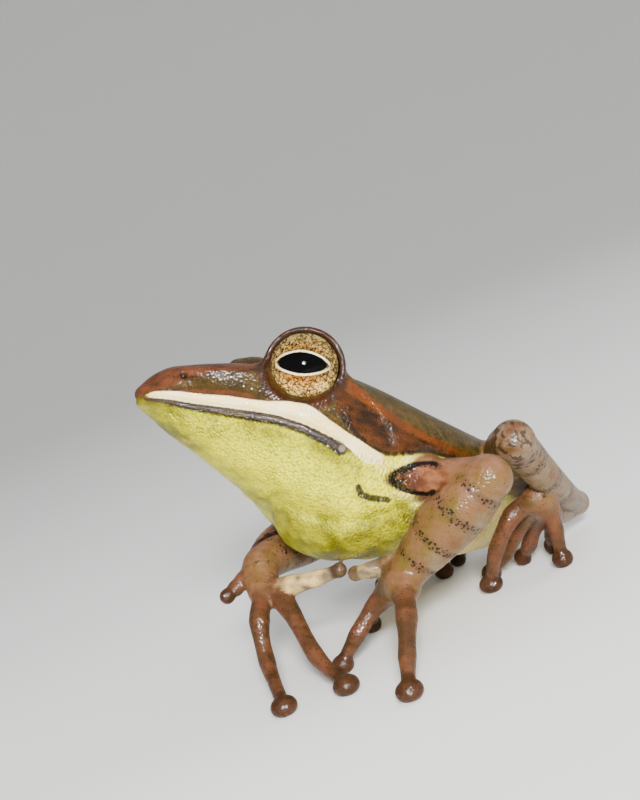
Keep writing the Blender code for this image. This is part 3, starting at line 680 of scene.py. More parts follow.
def evened(mesh, p, share):
    """points moved towards the middle of their neighbours"""
    pairs = np.empty(len(mesh.edges) * 2, np.int32)
    mesh.edges.foreach_get("vertices", pairs)
    pairs = pairs.reshape(-1, 2)
    total, count = np.zeros_like(p), np.zeros(len(p))
    for a, b in ((0, 1), (1, 0)):
        np.add.at(total, pairs[:, a], p[pairs[:, b]])
        np.add.at(count, pairs[:, a], 1)
    return p + share * (total / np.maximum(count, 1)[:, None] - p)


def place(mesh, name):
    obj = bpy.data.objects.new(name, mesh)
    bpy.context.scene.collection.objects.link(obj)
    return obj


def evaluated(obj):
    graph = bpy.context.evaluated_depsgraph_get()
    graph.update()
    return bpy.data.meshes.new_from_object(obj.evaluated_get(graph))


def rough_trunk(bm, ring=40):
    """rings of the cross sections, capped"""
    turn = np.arange(ring) * 2 * np.pi / ring
    quarter = np.linspace(0.15, np.pi / 2, 6)
    stations = np.concatenate((
        NOSE_ROUNDING * (1 - np.cos(quarter)),
        np.arange(NOSE_ROUNDING + 1.0, BODY_LENGTH - RUMP_ROUNDING, 1.0),
        BODY_LENGTH - RUMP_ROUNDING * (1 - np.cos(quarter[::-1]))))
    rings = []
    for s in stations:
        width, top, bottom, square_top, square_bottom = SPINE.at(s, SPINE.section)
        nose, rump = end_rounding(s)
        scale = np.sqrt(max(1 - nose ** 2 - rump ** 2, 0))
        side, up = np.sin(turn), np.cos(turn)
        height = np.where(up > 0, top, bottom)
        power = np.where(up > 0, square_top, square_bottom)
        radius = scale / ((np.abs(side) / width) ** power + (np.abs(up) / height) ** power) ** (1 / power)
        rings.append([bm.verts.new(SPINE.point(s, x, z) * MM) for x, z in zip(radius * side, radius * up)])
    for a, b in zip(rings[:-1], rings[1:]):
        for i in range(ring):
            j = (i + 1) % ring
            bm.faces.new((a[i], a[j], b[j], b[i]))
    bm.faces.new(rings[0])
    bm.faces.new(reversed(rings[-1]))


def rough_ball(bm, centre, radius):
    middle = Matrix.Translation(Vector(centre) * MM)
    bmesh.ops.create_icosphere(bm, subdivisions=3, radius=radius * MM, matrix=middle)


def rough_limb(bm, run):
    """a rod along a run of points and radii, with round ends"""
    curve = bpy.data.curves.new("rod", "CURVE")
    curve.dimensions = "3D"
    curve.bevel_depth = MM
    curve.bevel_resolution = 4
    curve.use_fill_caps = True
    spline = curve.splines.new("POLY")
    spline.points.add(len(run) - 1)
    for point, (x, y, z, radius) in zip(spline.points, run):
        point.co = (x * MM, y * MM, z * MM, 1.0)
        point.radius = radius
    rod = place(curve, "rod")
    mesh = evaluated(rod)
    bm.from_mesh(mesh)
    bpy.data.objects.remove(rod)
    bpy.data.curves.remove(curve)
    bpy.data.meshes.remove(mesh)
    for x, y, z, radius in (run[0], run[-1]):
        rough_ball(bm, (x, y, z), radius)


def rough_frog():
    """all the forms as overlapping closed pieces in one mesh"""
    bm = bmesh.new()
    rough_trunk(bm)
    for centre, _ in EYES.values():
        rough_ball(bm, centre, LID_RADIUS)
    for side in RUNS:
        for run in RUNS[side].values():
            rough_limb(bm, run)
        for _, _, tip, radius in DIGITS[side].values():
            rough_ball(bm, tip, radius)
    bmesh.ops.remove_doubles(bm, verts=bm.verts, dist=0.002 * MM)
    bmesh.ops.recalc_face_normals(bm, faces=bm.faces)
    mesh = bpy.data.meshes.new("rough frog")
    bm.to_mesh(mesh)
    bm.free()
    return mesh


def fine_zone(p, past_mouth=1.2, lips=1.1, nostril=1.2, rim=0.9):
    """where the skin needs a finer mesh: lips, nostrils and the rims of the lids"""
    s, _, z = SPINE.stations(p)
    zone = (s < MOUTH_END + past_mouth) & (np.abs(above_mouth(s, z)) < lips) & (body_field(p) < 0.5)
    zone |= nostril_distance(s, z) < nostril
    for eye in EYES:
        _, along, across = eye_offsets(p, eye)
        zone |= rim_distance(across, along) < rim
    return zone


def refine(mesh, chosen):
    """splits the faces whose corners are all chosen"""
    bm = bmesh.new()
    bm.from_mesh(mesh)
    faces = [f for f in bm.faces if all(chosen[v.index] for v in f.verts)]
    edges = {e for f in faces for e in f.edges}
    bmesh.ops.subdivide_edges(bm, edges=list(edges), cuts=1, use_grid_fill=True)
    bmesh.ops.triangulate(bm, faces=[f for f in bm.faces if len(f.verts) > 4])
    bm.to_mesh(mesh)
    bm.free()


def nearest_bones(p):
    """names of the bones and digits, the number of the one nearest each point, and the distance along it"""
    names = [(side, name) for side in RUNS for name in RUNS[side]]
    best, which, along = np.full(len(p), 1e3), np.full(len(p), -1), np.zeros(len(p))
    for index, (side, name) in enumerate(names):
        run = RUNS[side][name]
        start = 0.0
        near = near_run(p, run, 4.0)
        for a, b in zip(run[:-1], run[1:]):
            f, length, t = stretch_field(p[near], a, b)
            closer = f < best[near]
            best[near[closer]] = f[closer]
            which[near[closer]] = index
            along[near[closer]] = (start + t * length)[closer]
            start += length
    return names, which, along


def body_markings(s, x, z):
    """the markings of head and trunk as distances in millimetres, above zero inside them"""
    belly = np.interp(s, *np.array(BELLY_BORDER).T) - z
    half_width = np.interp(s, *np.array(SADDLE).T, left=-2.0, right=-2.0)
    chin_width, chin_end = CHIN_SHADE_STRIPE
    cheek_end, cheek_low, cheek_high = CHEEK
    return {
        **{name: inside(s, z, outline) for name, outline in OUTLINES.items()},
        **{name: half - beside(s, z, line) for name, (half, line) in LINES.items()},
        "saddle": half_width - np.abs(x) - SADDLE_CUT * (z < SADDLE_LOWEST),
        "belly": belly,
        # painted shade down the middle of the throat's front
        "chin": np.minimum(np.minimum(chin_width - np.abs(x), chin_end - s), belly),
        # painted shade: olive darkening in the creases between the chest's folds
        "folds": -chest_folds(s, x, z) - 0.3,
        "abdomen": np.minimum(belly - 0.5, s - ABDOMEN_STATION),
        "lore": np.minimum(cheek_end - s, np.minimum(cheek_high - z, z - cheek_low)),
        # painted shade: the nostril's opening, darkened inside the pit
        "nostril": NOSTRIL_RADIUS - nostril_distance(s, z),
        "corner": MOUTH_CORNER_RADIUS - np.hypot(s - MOUTH_CORNER[0], z - MOUTH_CORNER[1]),
    }


def streaks(s, x, z):
    """uneven lines that run along the body, between -1 and 1"""
    wander = 0.5 * np.sin(0.9 * s + 1.7 * x) + 0.4 * np.sin(1.7 * s - 2.3 * z + 0.6 * x)
    return np.sin(3.1 * z + 2.3 * np.abs(x) + wander) * np.sin(1.3 * np.abs(x) - 4.3 * z + 0.25 * s + wander)


def patch_markings(p):
    """the glossy patches on the upper arms, and how far their dark rims are from their ends"""
    patch, rim_end = np.full(len(p), OUTSIDE), np.full(len(p), OUTSIDE)
    half_length, half_width = ARM_PATCH_SIZE
    for side, (start, outward) in ARM_PATCH.items():
        line = unit(np.subtract(JOINTS[side]["elbow"], JOINTS[side]["shoulder"]))
        outward = unit(outward - (outward @ line) * line)
        q = p - JOINTS[side]["shoulder"]
        t = q @ line - start
        across = q @ np.cross(line, outward)
        d = (1 - np.hypot(t / half_length, across / half_width)) * half_width
        d = np.where(q @ outward > 0, d, OUTSIDE)
        rim_end = np.where(d > patch, RIM_REACH - t, rim_end)
        patch = np.maximum(patch, d)
    return patch, rim_end


def lid_marking(p):
    """the skin of the lids, round both eyes"""
    lid = np.full(len(p), OUTSIDE)
    for eye in EYES:
        _, along, across = eye_offsets(p, eye)
        band = LID_BAND - np.abs(across - RING_REACH)
        lid = np.maximum(lid, np.where(along > LID_PLANE - LID_BAND, band, OUTSIDE))
    return lid


def limb_markings(p, on_limb, normals):
    """the markings of the limbs, each kept to the limbs"""
    names, which, along = nearest_bones(p)
    kinds = ("digit", "disc", "pale_finger", "bars", "knee", "thigh")
    marks = {kind: np.full(len(p), -LIMB_REACH) for kind in kinds}
    for index, (side, name) in enumerate(names):
        mine = which == index
        for middle, half in BARS.get(name, ()):
            marks["bars"][mine] = np.maximum(marks["bars"][mine], half - np.abs(along[mine] - middle))
        if name in DIGITS[side]:
            _, _, tip, radius = DIGITS[side][name]
            marks["digit"][mine] = along[mine] - DIGIT_START
            marks["disc"][mine] = radius + 0.2 - np.linalg.norm(p[mine] - tip, axis=1)
            if name == "finger_1":
                marks["pale_finger"][mine] = along[mine] - PALE_START
    for side, joints in JOINTS.items():
        marks["knee"] = np.maximum(marks["knee"], KNEE_RADIUS - np.linalg.norm(p - joints["knee"], axis=1))
        nearer = tube_field(p, RUNS[side]["shank"]) - tube_field(p, RUNS[side]["thigh"])
        marks["thigh"] = np.maximum(marks["thigh"], np.clip(nearer, -LIMB_REACH, LIMB_REACH))
    marks["blotch"] = np.minimum(marks["knee"], -0.25)
    marks["thigh"] = np.minimum(marks["thigh"], 0.3 - normals[:, 2])
    marks["under"] = -normals[:, 2] - 0.3
    return {name: np.minimum(values, on_limb) for name, values in marks.items()}


def markings(p, normals):
    """every marking of the skin, and how large its specks are"""
    body = body_field(p)
    _, limbs = limbs_field(p, body)
    on_limb = np.clip(body - limbs, -LIMB_REACH, LIMB_REACH)
    limb_share = share_of(on_limb, LIMB_CHANGE)
    s, x, z = SPINE.stations(p)
    marks = {**body_markings(s, x, z), **limb_markings(p, on_limb, normals)}
    marks["streaks"] = streaks(s, x, z)
    marks["on_limb"] = on_limb * (1 - HIP_BLEND * share_of(s - HIP_STATION, HIP_WIDTH))
    marks["on_limb_share"] = limb_share
    marks["lid"] = lid_marking(p)
    marks["patch"], marks["rim_end"] = patch_markings(p)
    pale = share_of(marks["belly"], 0.6) * (1 - limb_share) + share_of(marks["cream"], 0.1)
    marks["speck_growth"] = 0.3 * share_of(marks["bars"], 0.5) * limb_share - 0.8 * pale + sum(
        growth * share_of(marks[name], width) for name, (growth, width) in SPECK_GROWTH.items())
    return marks


def linear(hex_colour):
    """an sRGB hex value as linear colour"""
    c = np.array([int(hex_colour[i:i + 2], 16) for i in (0, 2, 4)]) / 255
    c = np.where(c <= 0.04045, c / 12.92, ((c + 0.055) / 1.055) ** 2.4)
    return (*c.tolist(), 1.0)


def colour_setting(key, name, description):
    """a colour that a user can change"""
    return FloatVectorProperty(
        name=name, description=description, default=linear(COLOURS[key]), size=4, min=0.0, max=1.0,
        subtype="COLOR")


def colours_of(settings):
    """the linear colours by name, as the user has set those that can be set"""
    return {name: tuple(getattr(settings, name, linear(value))) for name, value in COLOURS.items()}


def length_setting(name, description, default, low, high):
    """a size that a user can change, given in millimetres and kept in metres"""
    return FloatProperty(
        name=name, description=description, default=default * MM, min=low * MM, max=high * MM,
        subtype="DISTANCE", unit="LENGTH", precision=5)


def add(tree, kind, inputs=(), output=None, **settings):
    """adds a node with its settings, sets or links its inputs by name or in order, and gives one output"""
    node = tree.nodes.new("ShaderNode" + kind)
    for name, value in settings.items():
        setattr(node, name, value)
    sockets = [socket for socket in node.inputs if socket.enabled]
    for key, value in inputs.items() if isinstance(inputs, dict) else enumerate(inputs):
        socket = sockets[key] if isinstance(key, int) else next(s for s in sockets if s.name == key)
        if isinstance(value, bpy.types.NodeSocket):
            tree.links.new(value, socket)
        else:
            socket.default_value = value
    return next((s for s in node.outputs if s.enabled and output in (None, s.name)), None)


def new_material(name):
    made = bpy.data.materials.new(name)
    made.use_nodes = True
    made.node_tree.nodes.clear()
    return made, made.node_tree


def edge(tree, distance, ragged, grain, softness, cover=1.0):
    """how far a point is inside a marking, from 0 to how much the marking covers, with an uneven edge"""
    moved = add(tree, "Math", (grain, 2 * ragged, distance), operation="MULTIPLY_ADD")
    return add(tree, "MapRange", (moved, ragged - softness, ragged + softness, 0.0, cover),
               interpolation_type="SMOOTHSTEP")


def layered(tree, colour, layers):
    """colours laid over one another, each with the share that it covers"""
    for share, above in layers:
        colour = add(tree, "Mix", (share, colour, above), data_type="RGBA")
    return colour


def cloudy(tree, first, second, grain):
    """two colours in clouds"""
    return layered(tree, first, [(add(tree, "MapRange", (grain, *CLOUD_RANGE)), second)])


def dotted(tree, where, growth, per_mm, size, share):
    """round dots of uneven size, so many to the millimetre, larger by a share of the growth"""
    away = add(tree, "TexVoronoi", {"Vector": where, "Scale": per_mm})
    chance = add(tree, "SeparateColor", (away.node.outputs["Color"],))
    growth = add(tree, "Math", (growth, share), operation="MULTIPLY")
    reach = add(tree, "Math", (chance, 2 * size, growth), operation="MULTIPLY_ADD")
    inner = add(tree, "Math", (reach, away), operation="SUBTRACT")
    return add(tree, "MapRange", (inner, size - 0.04, size + 0.05))


# grains to the millimetre of the skin's clouds, of its mottling and of its fine grain, how much its streaks
# draw the clouds out, and the range of the grain over which one colour of the clouds turns into the other
GRAINS = (0.45, 1.6, 5.0)
STREAKS = 0.09
CLOUD_RANGE = (0.35, 0.65)
# warts: so many to the millimetre, their height and the grain's as shares of the bump, how much of theirs is
# left on the brown skin, and how much painted shade the hollows between them take, from and up to a distance
WARTS = 3.6
WART_HEIGHT = 0.8
GRAIN_HEIGHT = 0.15
BROWN_WARTS = 0.3
GAP_SHADE = (0.15, 0.5, 0.0, 0.16)
# specks: so many to the millimetre, their size, and how much of the growth they take, and how dark they are
SPECKS = ((1.5, 0.12, 0.6), (3.3, 0.25, 1.3))
SPECK_COVER = 0.85
# markings in the order they are laid: stored distance, two colours of their clouds, how ragged and how soft
# their edge is in millimetres, and how much they cover
MARKS = (
    ("saddle", "saddle", "saddle", 0.6, 0.5, 0.75),
    ("belly", "throat", "throat_bright", 0.25, 0.35, 1.0),
    # painted shade along the jaw
    ("olive", "olive", "throat", 1.0, 1.2, 0.9),
    # painted shade down the middle of the throat's front
    ("chin", "olive", "throat", 0.8, 1.2, 0.7),
    # painted light along the throat's side
    ("glow", "throat_bright", "throat_bright", 1.6, 1.4, 0.7),
    # painted shade on the chest
    ("chest", "olive", "throat", 0.6, 0.8, 0.85),
    # painted shade in the creases of the chest's folds
    ("folds", "olive", "olive", 0.1, 0.4, 0.75),
    ("abdomen", "abdomen", "cream", 1.0, 2.0, 0.9),
    ("lore", "lore", "back", 0.3, 0.5, 0.9),
    ("snout", "snout", "snout_bright", 0.25, 0.3, 0.9),
    ("lip_red", "snout_bright", "flank", 0.25, 0.25, 0.9),
    ("cheek_line", "flank", "ink", 0.2, 0.2, 0.7),
    # painted shade in the nostril's pit
    ("nostril", "ink", "ink", 0.0, 0.12, 0.9),
    ("lid", "lid", "lid_top", 0.1, 0.25, 0.9),
    ("shoulder", "cream_yellow", "throat_bright", 0.5, 0.6, 0.8),
    ("flank", "flank", "orange_far", 0.2, 0.2, 0.95),
    ("orange", "orange", "orange_far", 0.2, 0.2, 0.9),
    ("flank_edge", "ink", "flank", 0.35, 0.12, 0.9),
    ("cream", "cream", "cream_pale", 0.06, 0.07, 1.0),
    ("mouth", "mouth", "mouth_brown", 0.06, 0.06, 0.95),
    ("mouth_edge", "ink", "ink", 0.12, 0.08, 0.85),
    ("corner", "corner", "corner", 0.08, 0.08, 0.9),
    ("squiggle", "ink", "mouth", 0.12, 0.1, 0.95),
    ("on_limb", "arm", "arm_pink", 0.25, 0.4, 1.0),
    ("thigh", "olive", "arm", 0.6, 0.7, 0.8),
    ("under", "pale", "arm", 0.3, 0.35, 0.8),
    ("digit", "digit", "digit_red", 1.2, 2.4, 0.9),
    ("pale_finger", "pale", "cream", 1.2, 1.5, 0.7),
    ("disc", "disc", "digit", 0.1, 0.15, 0.8),
    ("knee", "knee", "pale", 0.8, 0.9, 0.7),
    ("blotch", "ink", "ink", 2.2, 0.15, 0.7),
    ("bars", "mouth", "mouth", 0.4, 0.3, 0.3),
    ("patch", "patch", "patch_pale", 0.2, 0.2, 1.0),
)


def skin_material(settings):
    """Moist frog skin, which is thin, lets some light in and has a film of water that gives small bright
    lights on a fine grain of tiny warts."""
    made, tree = new_material("moist frog skin")
    where = add(tree, "Mapping", {"Vector": add(tree, "TexCoord", output="Object"), "Scale": (1 / MM,) * 3})
    clouds, middle, fine = (
        add(tree, "TexNoise", {"Vector": where, "Scale": per_mm, "Detail": 3.0}) for per_mm in GRAINS)
    names = (*(mark[0] for mark in MARKS), "streaks", "rim_end", "speck_growth", "on_limb_share")
    stored = {name: add(tree, "Attribute", output="Fac", attribute_name=name) for name in names}
    colours = colours_of(settings)

    streaky, mixed = (
        add(tree, "Math", (stored["streaks"], STREAKS, grain), operation="MULTIPLY_ADD")
        for grain in (clouds, middle))
    skin = cloudy(tree, colours["back_dark"], colours["back"], mixed)
    for name, first, second, ragged, softness, cover in MARKS:
        share = edge(tree, stored[name], ragged, middle if ragged > 0.15 else fine, softness, cover)
        skin = layered(tree, skin, [(share, cloudy(tree, colours[first], colours[second], streaky))])

    # the dark rim of the glossy patches, which fades towards the elbow
    patch = edge(tree, stored["patch"], 0.1, fine, 0.1)
    inner = add(tree, "Math", (stored["patch"], RIM_WIDTH), operation="SUBTRACT")
    inner = edge(tree, inner, 0.5, middle, 0.12)
    rim = add(tree, "Math", (patch, inner), operation="SUBTRACT")
    rim = add(tree, "Math", (rim, edge(tree, stored["rim_end"], 0.8, middle, 0.8)), operation="MULTIPLY")

    large, small = (dotted(tree, where, stored["speck_growth"], *kind) for kind in SPECKS)
    specks = add(tree, "Math", (large, small), operation="MAXIMUM")
    specks = add(tree, "Math", (specks, SPECK_COVER), operation="MULTIPLY")

    # the throat and belly are granular, with painted olive shade in the hollows between the warts
    away = add(tree, "TexVoronoi", {"Vector": where, "Scale": WARTS})
    away = add(tree, "Math", (away, 2.0), operation="POWER")
    belly = edge(tree, stored["belly"], 0.2, middle, 0.4)
    granular = add(tree, "Math", (belly, stored["on_limb_share"]), operation="SUBTRACT", use_clamp=True)
    gap_shade = add(tree, "MapRange", (away, *GAP_SHADE))
    gap_shade = add(tree, "Math", (gap_shade, granular), operation="MULTIPLY")
    skin = layered(tree, skin, [(rim, colours["ink"]), (specks, colours["ink"]), (gap_shade, colours["olive"])])

    depth = add(tree, "Math", (granular, BROWN_WARTS), operation="ADD")
    depth = add(tree, "Math", (depth, -WART_HEIGHT), operation="MULTIPLY")
    depth = add(tree, "Math", (depth, away), operation="MULTIPLY")
    grain = add(tree, "Math", (fine, middle), operation="ADD")
    height = add(tree, "Math", (grain, GRAIN_HEIGHT, depth), operation="MULTIPLY_ADD")
    bump = add(tree, "Bump", {"Height": height, "Strength": 0.9, "Distance": 0.25 * MM})
    shader = add(tree, "BsdfPrincipled", {
        "Base Color": skin, "Roughness": add(tree, "MapRange", (middle, 0.0, 1.0, 0.3, 0.5)), "IOR": 1.4,
        "Specular IOR Level": 0.06, "Normal": bump, "Coat Normal": bump, "Coat Weight": 0.35,
        "Coat Roughness": 0.1, "Coat IOR": 1.33, "Subsurface Weight": 0.1,
        "Subsurface Radius": (1.0, 0.5, 0.25), "Subsurface Scale": 0.5 * MM})
    add(tree, "OutputMaterial", {"Surface": shader})
    return made


# half width and half height of the pupil, and how round its ends are, where 2 is an ellipse
PUPIL_SIZE = (2.3, 1.0)
PUPIL_POWER = 1.75
# how far over the ball the cornea spreads, as an angle
CORNEA_SPREAD = 0.75
# the iris's rays and its net of veins: grains to the millimetre, detail, and how wide the lines are
RAYS = (4.0, 4.0, 0.08)
NET = (3.6, 5.0, 0.09)


def veined(tree, where, per_mm, detail, width):
    """a noise, and 0 on the winding lines where it is half way and 1 away from them"""
    grain = add(tree, "TexNoise", {"Vector": where, "Scale": per_mm, "Detail": detail})
    away = add(tree, "Math", (grain, 0.5), operation="SUBTRACT")
    away = add(tree, "Math", (away,), operation="ABSOLUTE")
    return grain, add(tree, "MapRange", (away, 0.0, width))


def iris_material(settings):
    """A wet eye: the clear cornea gives one sharp light, and behind it the gold iris is veined with bronze
    round a level black pupil with a cream edge."""
    made, tree = new_material("wet frog eye")
    colours = colours_of(settings)
    gaze, pupil, ring = (
        add(tree, "Attribute", output=output, attribute_name=name)
        for name, output in (("gaze", "Vector"), ("pupil", "Fac"), ("pupil_ring", "Fac")))
    flat = add(tree, "VectorMath", (gaze, (1.0, 1.0, 0.0)), operation="MULTIPLY")
    radius = add(tree, "VectorMath", (flat,), operation="LENGTH")
    around = add(tree, "VectorMath", (flat,), operation="NORMALIZE")
    depth = add(tree, "CombineXYZ", {"Z": add(tree, "Math", (radius, 0.5), operation="MULTIPLY")})
    spread = add(tree, "VectorMath", (around, depth), operation="ADD")
    _, rays = veined(tree, spread, *RAYS)
    flecks, net = veined(tree, gaze, *NET)
    between = add(tree, "Math", (rays, net), operation="MULTIPLY")
    height = add(tree, "SeparateXYZ", (gaze,), output="Y")
    iris = layered(tree, colours["iris"], (
        (add(tree, "MapRange", (radius, 1.3, 3.0)), colours["iris_bright"]),
        (add(tree, "MapRange", (height, 0.5, 1.8, 0.0, 0.7)), colours["iris_top"]),
        (add(tree, "Math", (1.0, between), operation="SUBTRACT"), colours["bronze"]),
        (add(tree, "MapRange", (pupil, -1.1, -0.2, 0.0, 0.6)), colours["bronze"]),
        # near-black ring at the iris's edge: partly its own dark border, partly painted shadow of the lid
        (add(tree, "MapRange", (radius, 3.05, 3.25)), colours["eye_border"]),
        (edge(tree, ring, 0.03, flecks, 0.05), colours["pupil_edge"]),
        (edge(tree, pupil, 0.0, flecks, 0.03), colours["pupil"])))
    shader = add(tree, "BsdfPrincipled", {
        "Base Color": iris, "Roughness": 0.6, "Specular IOR Level": 0.0, "Coat Weight": 0.1,
        "Coat Roughness": 0.02, "Coat IOR": 1.36})
    add(tree, "OutputMaterial", {"Surface": shader})
    return made


def paper_material(settings):
    """Matt paper, which takes the frog's shadow without a light of its own."""
    made, tree = new_material("matt paper")
    shader = add(tree, "BsdfPrincipled", {"Base Color": colours_of(settings)["paper"], "Roughness": 0.9})
    add(tree, "OutputMaterial", {"Surface": shader})
    return made


class FrogSkinSettings(bpy.types.PropertyGroup):
    mesh_step: length_setting("Mesh step", "Spacing of the skin's mesh", 0.285, 0.15, 1.0)
    back: colour_setting("back", "Back", "Brown of the head and back")
    snout: colour_setting("snout", "Snout", "Red brown of the snout")
    cream: colour_setting("cream", "Lip", "Cream stripe over the mouth")
    mouth: colour_setting("mouth", "Mouth", "Dark band along the lower lip, and bars of the limbs")
    throat: colour_setting("throat", "Throat", "Yellow of the throat")
    throat_bright: colour_setting("throat_bright", "Bright throat", "Bright clouds of the throat")
    olive: colour_setting("olive", "Shade", "Olive shade of the jaw and chest")
    orange: colour_setting("orange", "Flank line", "Orange line from the eye along the flank")
    arm: colour_setting("arm", "Limbs", "Brown of the limbs")
    digit: colour_setting("digit", "Digits", "Brown of the fingers and toes")
    ink: colour_setting("ink", "Specks", "Black brown of the specks, rims and thin lines")


class FrogEyeSettings(bpy.types.PropertyGroup):
    radius: length_setting("Eye radius", "Radius of the eyeball", EYE_RADIUS, 1.0, 5.0)
    cornea: length_setting("Cornea", "How far the cornea stands out of the ball", 0.15, 0.0, 1.0)
    iris: colour_setting("iris", "Iris", "Gold of the iris")
    iris_bright: colour_setting("iris_bright", "Outer iris", "Bright gold near the iris's border")
    bronze: colour_setting("bronze", "Veins", "Bronze of the veins and of the shade round the pupil")
    pupil: colour_setting("pupil", "Pupil", "Black of the pupil")


class FrogStageSettings(bpy.types.PropertyGroup):
    paper: colour_setting("paper", "Paper", "Colour of the floor and background")
    lens: FloatProperty(
        name="Lens", description="Focal length on a frame 36 mm high", default=62.0, min=10.0, max=300.0,
        subtype="DISTANCE_CAMERA")


class FROG_OT_skin(bpy.types.Operator):
    """Makes the one skin that stands for every flesh node"""
    bl_idname = "frog.skin"
    bl_label = "Skin"

    def execute(self, context):
        settings = context.scene.frog_skin
        skin = place(rough_frog(), "frog_skin")
        voxels = skin.modifiers.new("one skin", "REMESH")
        voxels.mode = "VOXEL"
        voxels.voxel_size = settings.mesh_step
        mesh = evaluated(skin)
        skin.modifiers.clear()
        skin.data = mesh
        p = settled(points_of(mesh), skin_field, 6)
        for _ in range(2):
            p = settled(evened(mesh, p, 0.5), skin_field, 2)
        set_points(mesh, p)
        refine(mesh, fine_zone(p))
        p = settled(points_of(mesh), skin_field, 3)
        set_points(mesh, p - ORIGIN)
        mesh.name = skin.name
        mesh.shade_smooth()
        normals = np.empty(len(mesh.vertices) * 3, np.float32)
        mesh.vertices.foreach_get("normal", normals)
        for name, values in markings(p, normals.reshape(-1, 3)).items():
            store(mesh, name, values)
        mesh.materials.clear()
        mesh.materials.append(skin_material(settings))
        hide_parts(*FLESH_NODES)
        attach(skin, "root")
        return {"FINISHED"}


def eyeball(side, settings):
    """an eye with its cornea, and the places of its pupil's marks"""
    centre, outward = EYES[side]
    bm = bmesh.new()
    bmesh.ops.create_uvsphere(bm, u_segments=96, v_segments=64, radius=1.0)
    mesh = bpy.data.meshes.new("frog_eye_" + side)
    bm.to_mesh(mesh)
    bm.free()
    ball = points_of(mesh) * MM
    across = unit(np.cross(outward, SPINE.at(EYE_STATION, SPINE.up)))
    rise = np.cross(across, outward)
    bulge = settings.cornea / MM * swell(np.arccos(np.clip(ball[:, 2], -1, 1)), CORNEA_SPREAD)
    local = ball * (settings.radius / MM + bulge)[:, None]
    x, y, z = local.T
    p = centre + x[:, None] * across + y[:, None] * rise + (EYE_FORWARD + z[:, None]) * outward
    set_points(mesh, p - ORIGIN)
    mesh.shade_smooth()
    half_width, half_height = PUPIL_SIZE
    power = PUPIL_POWER
    reach = ((np.abs(x) / half_width) ** power + (np.abs(y) / half_height) ** power) ** (1 / power)
    pupil = np.where(z > 0, (1 - reach) * half_height, -3.0)
    # the pupil's cream edge is widest above and below it
    level = np.abs(y) / (np.abs(y) + 0.25 * np.abs(x) + 1e-6)
    store(mesh, "gaze", local)
    store(mesh, "pupil", pupil)
    store(mesh, "pupil_ring", 0.1 * level - np.abs(pupil + 0.1))
    return mesh


class FROG_OT_eyes(bpy.types.Operator):
    """Makes both eyes, each a ball with a cornea, an iris and a level pupil"""
    bl_idname = "frog.eyes"
    bl_label = "Eyes"

    def execute(self, context):
        settings = context.scene.frog_eyes
        iris = iris_material(settings)
        for side in EYES:
            mesh = eyeball(side, settings)
            mesh.materials.append(iris)
            eye = place(mesh, mesh.name)
            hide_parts("eye_" + side)
            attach(eye, "root")
        return {"FINISHED"}


CAMERA_PLACE = (0.0781, -0.1156, 0.0393)
CAMERA_AZIMUTH = 36.0
CAMERA_ELEVATION = 6.0
CAMERA_ROLL = 20.0
# radius of the flat floor, of the curve that rises from it, and the wall's height above the curve, in metres
FLOOR_RADIUS = 0.5
CURVE_RADIUS = 0.9
WALL_HEIGHT = 0.4
# lights: place in metres, size in metres, power in watts
LIGHTS = {
    "key": ((0.21, -0.26, 0.15), 0.08, 3.4),
    "glint": ((0.205, -0.265, 0.15), 0.03, 10.0),
    "fill": ((-0.25, -0.30, 0.20), 0.30, 0.1),
    "sky": ((0.10, 0.10, 1.25), 1.40, 7.0),
    "rim": ((0.25, 0.25, 0.20), 0.20, 0.4),
}
# the point that every light faces
AIM = (0.0, 0.0, 0.015)
# light from all around: its colour and strength
SKY_COLOUR = (0.85, 0.87, 0.9, 1.0)
SKY_STRENGTH = 0.2


def turned(azimuth, elevation, roll):
    """a camera's rotation, seen from an azimuth and elevation and rolled to its right"""
    azimuth, elevation, roll = np.radians((azimuth, elevation, roll))
    level = np.cos(elevation)
    back = Vector((np.sin(azimuth) * level, -np.cos(azimuth) * level, np.sin(elevation)))
    right = (-back).cross(Vector((0, 0, 1))).normalized()
    up = right.cross(-back)
    columns = (np.cos(roll) * right - np.sin(roll) * up, np.sin(roll) * right + np.cos(roll) * up, back)
    return Matrix(columns).transposed().to_4x4()


def paper_bowl():
    """a round floor whose edge curves up into a wall, so no horizon shows from any side"""
    turn = np.linspace(0, np.pi / 2, 24)
    outline = [(0.0, 0.0)]
    outline += [(FLOOR_RADIUS + CURVE_RADIUS * np.sin(t), CURVE_RADIUS * (1 - np.cos(t))) for t in turn]
    outline.append((FLOOR_RADIUS + CURVE_RADIUS, CURVE_RADIUS + WALL_HEIGHT))
    bm = bmesh.new()
    verts = [bm.verts.new((r, 0.0, z)) for r, z in outline]
    edges = [bm.edges.new(pair) for pair in zip(verts[:-1], verts[1:])]
    bmesh.ops.spin(bm, geom=verts + edges, axis=(0, 0, 1), angle=2 * np.pi, steps=96)
    bmesh.ops.remove_doubles(bm, verts=bm.verts, dist=1e-5)
    bmesh.ops.recalc_face_normals(bm, faces=bm.faces)
    if max(bm.faces, key=lambda f: -f.calc_center_median().length).normal.z < 0:
        bmesh.ops.reverse_faces(bm, faces=bm.faces)
    mesh = bpy.data.meshes.new("floor")
    bm.to_mesh(mesh)
    bm.free()
    return mesh


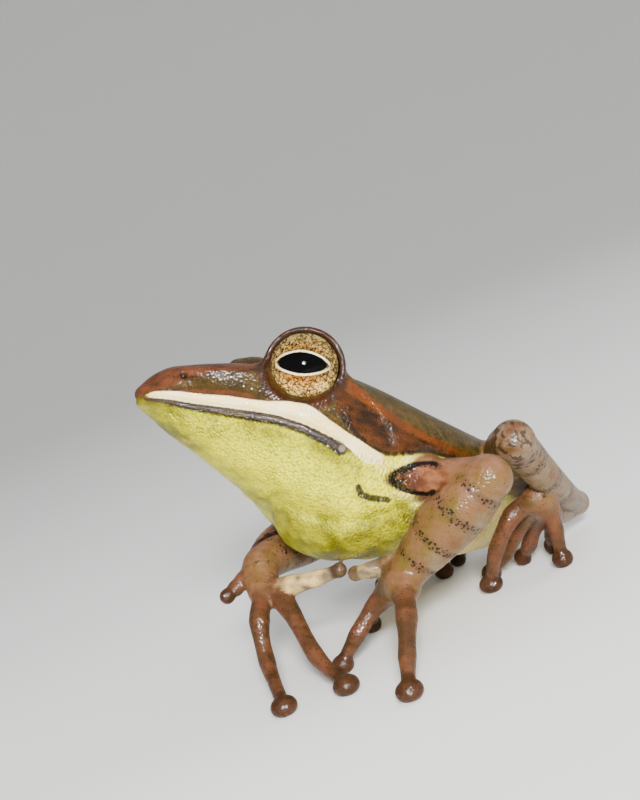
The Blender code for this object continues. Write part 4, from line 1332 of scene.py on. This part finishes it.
class FROG_OT_stage(bpy.types.Operator):
    """Sets up the camera, the lights and a pale floor that rises behind the frog"""
    bl_idname = "frog.stage"
    bl_label = "Stage"

    def execute(self, context):
        settings = context.scene.frog_stage
        lens = bpy.data.cameras.new("camera")
        lens.lens = settings.lens
        lens.sensor_fit = "VERTICAL"
        lens.sensor_height = 36.0
        lens.clip_start = 0.005
        camera = place(lens, "camera")
        rotation = turned(CAMERA_AZIMUTH, CAMERA_ELEVATION, CAMERA_ROLL)
        camera.matrix_world = Matrix.Translation(CAMERA_PLACE) @ rotation
        context.scene.camera = camera
        for name, (spot, size, power) in LIGHTS.items():
            light = bpy.data.lights.new(name, "AREA")
            light.shape = "DISK"
            light.size = size
            light.energy = power
            lamp = place(light, name)
            # the glint is seen only as small lights on wet skin
            lamp.visible_diffuse = name != "glint"
            lamp.location = spot
            lamp.rotation_euler = (Vector(AIM) - Vector(spot)).to_track_quat("-Z", "Y").to_euler()
        mesh = paper_bowl()
        mesh.materials.append(paper_material(settings))
        mesh.shade_smooth()
        place(mesh, "floor")
        world = bpy.data.worlds.new("studio")
        world.use_nodes = True
        background = world.node_tree.nodes["Background"]
        background.inputs["Color"].default_value = SKY_COLOUR
        background.inputs["Strength"].default_value = SKY_STRENGTH
        context.scene.world = world
        return {"FINISHED"}


class FROG_PT_panel(bpy.types.Panel):
    bl_idname = "FROG_PT_panel"
    bl_label = "Saddled tree frog"
    bl_space_type = "VIEW_3D"
    bl_region_type = "UI"
    bl_category = "Frog"

    def draw(self, context):
        for group, operator in (
                ("frog_skin", FROG_OT_skin), ("frog_eyes", FROG_OT_eyes), ("frog_stage", FROG_OT_stage)):
            settings = getattr(context.scene, group)
            box = self.layout.box()
            for name in type(settings).__annotations__:
                box.prop(settings, name)
            box.operator(operator.bl_idname)


CLASSES = (
    FrogSkinSettings, FrogEyeSettings, FrogStageSettings, FROG_OT_skin, FROG_OT_eyes, FROG_OT_stage,
    FROG_PT_panel,
)


def register():
    for made in CLASSES:
        bpy.utils.register_class(made)
    bpy.types.Scene.frog_skin = PointerProperty(type=FrogSkinSettings)
    bpy.types.Scene.frog_eyes = PointerProperty(type=FrogEyeSettings)
    bpy.types.Scene.frog_stage = PointerProperty(type=FrogStageSettings)


def unregister():
    del bpy.types.Scene.frog_stage
    del bpy.types.Scene.frog_eyes
    del bpy.types.Scene.frog_skin
    for made in reversed(CLASSES):
        bpy.utils.unregister_class(made)


def main():
    register()
    bpy.ops.frog.stage()
    bpy.ops.frog.skin()
    bpy.ops.frog.eyes()


if __name__ == "__main__":
    main()
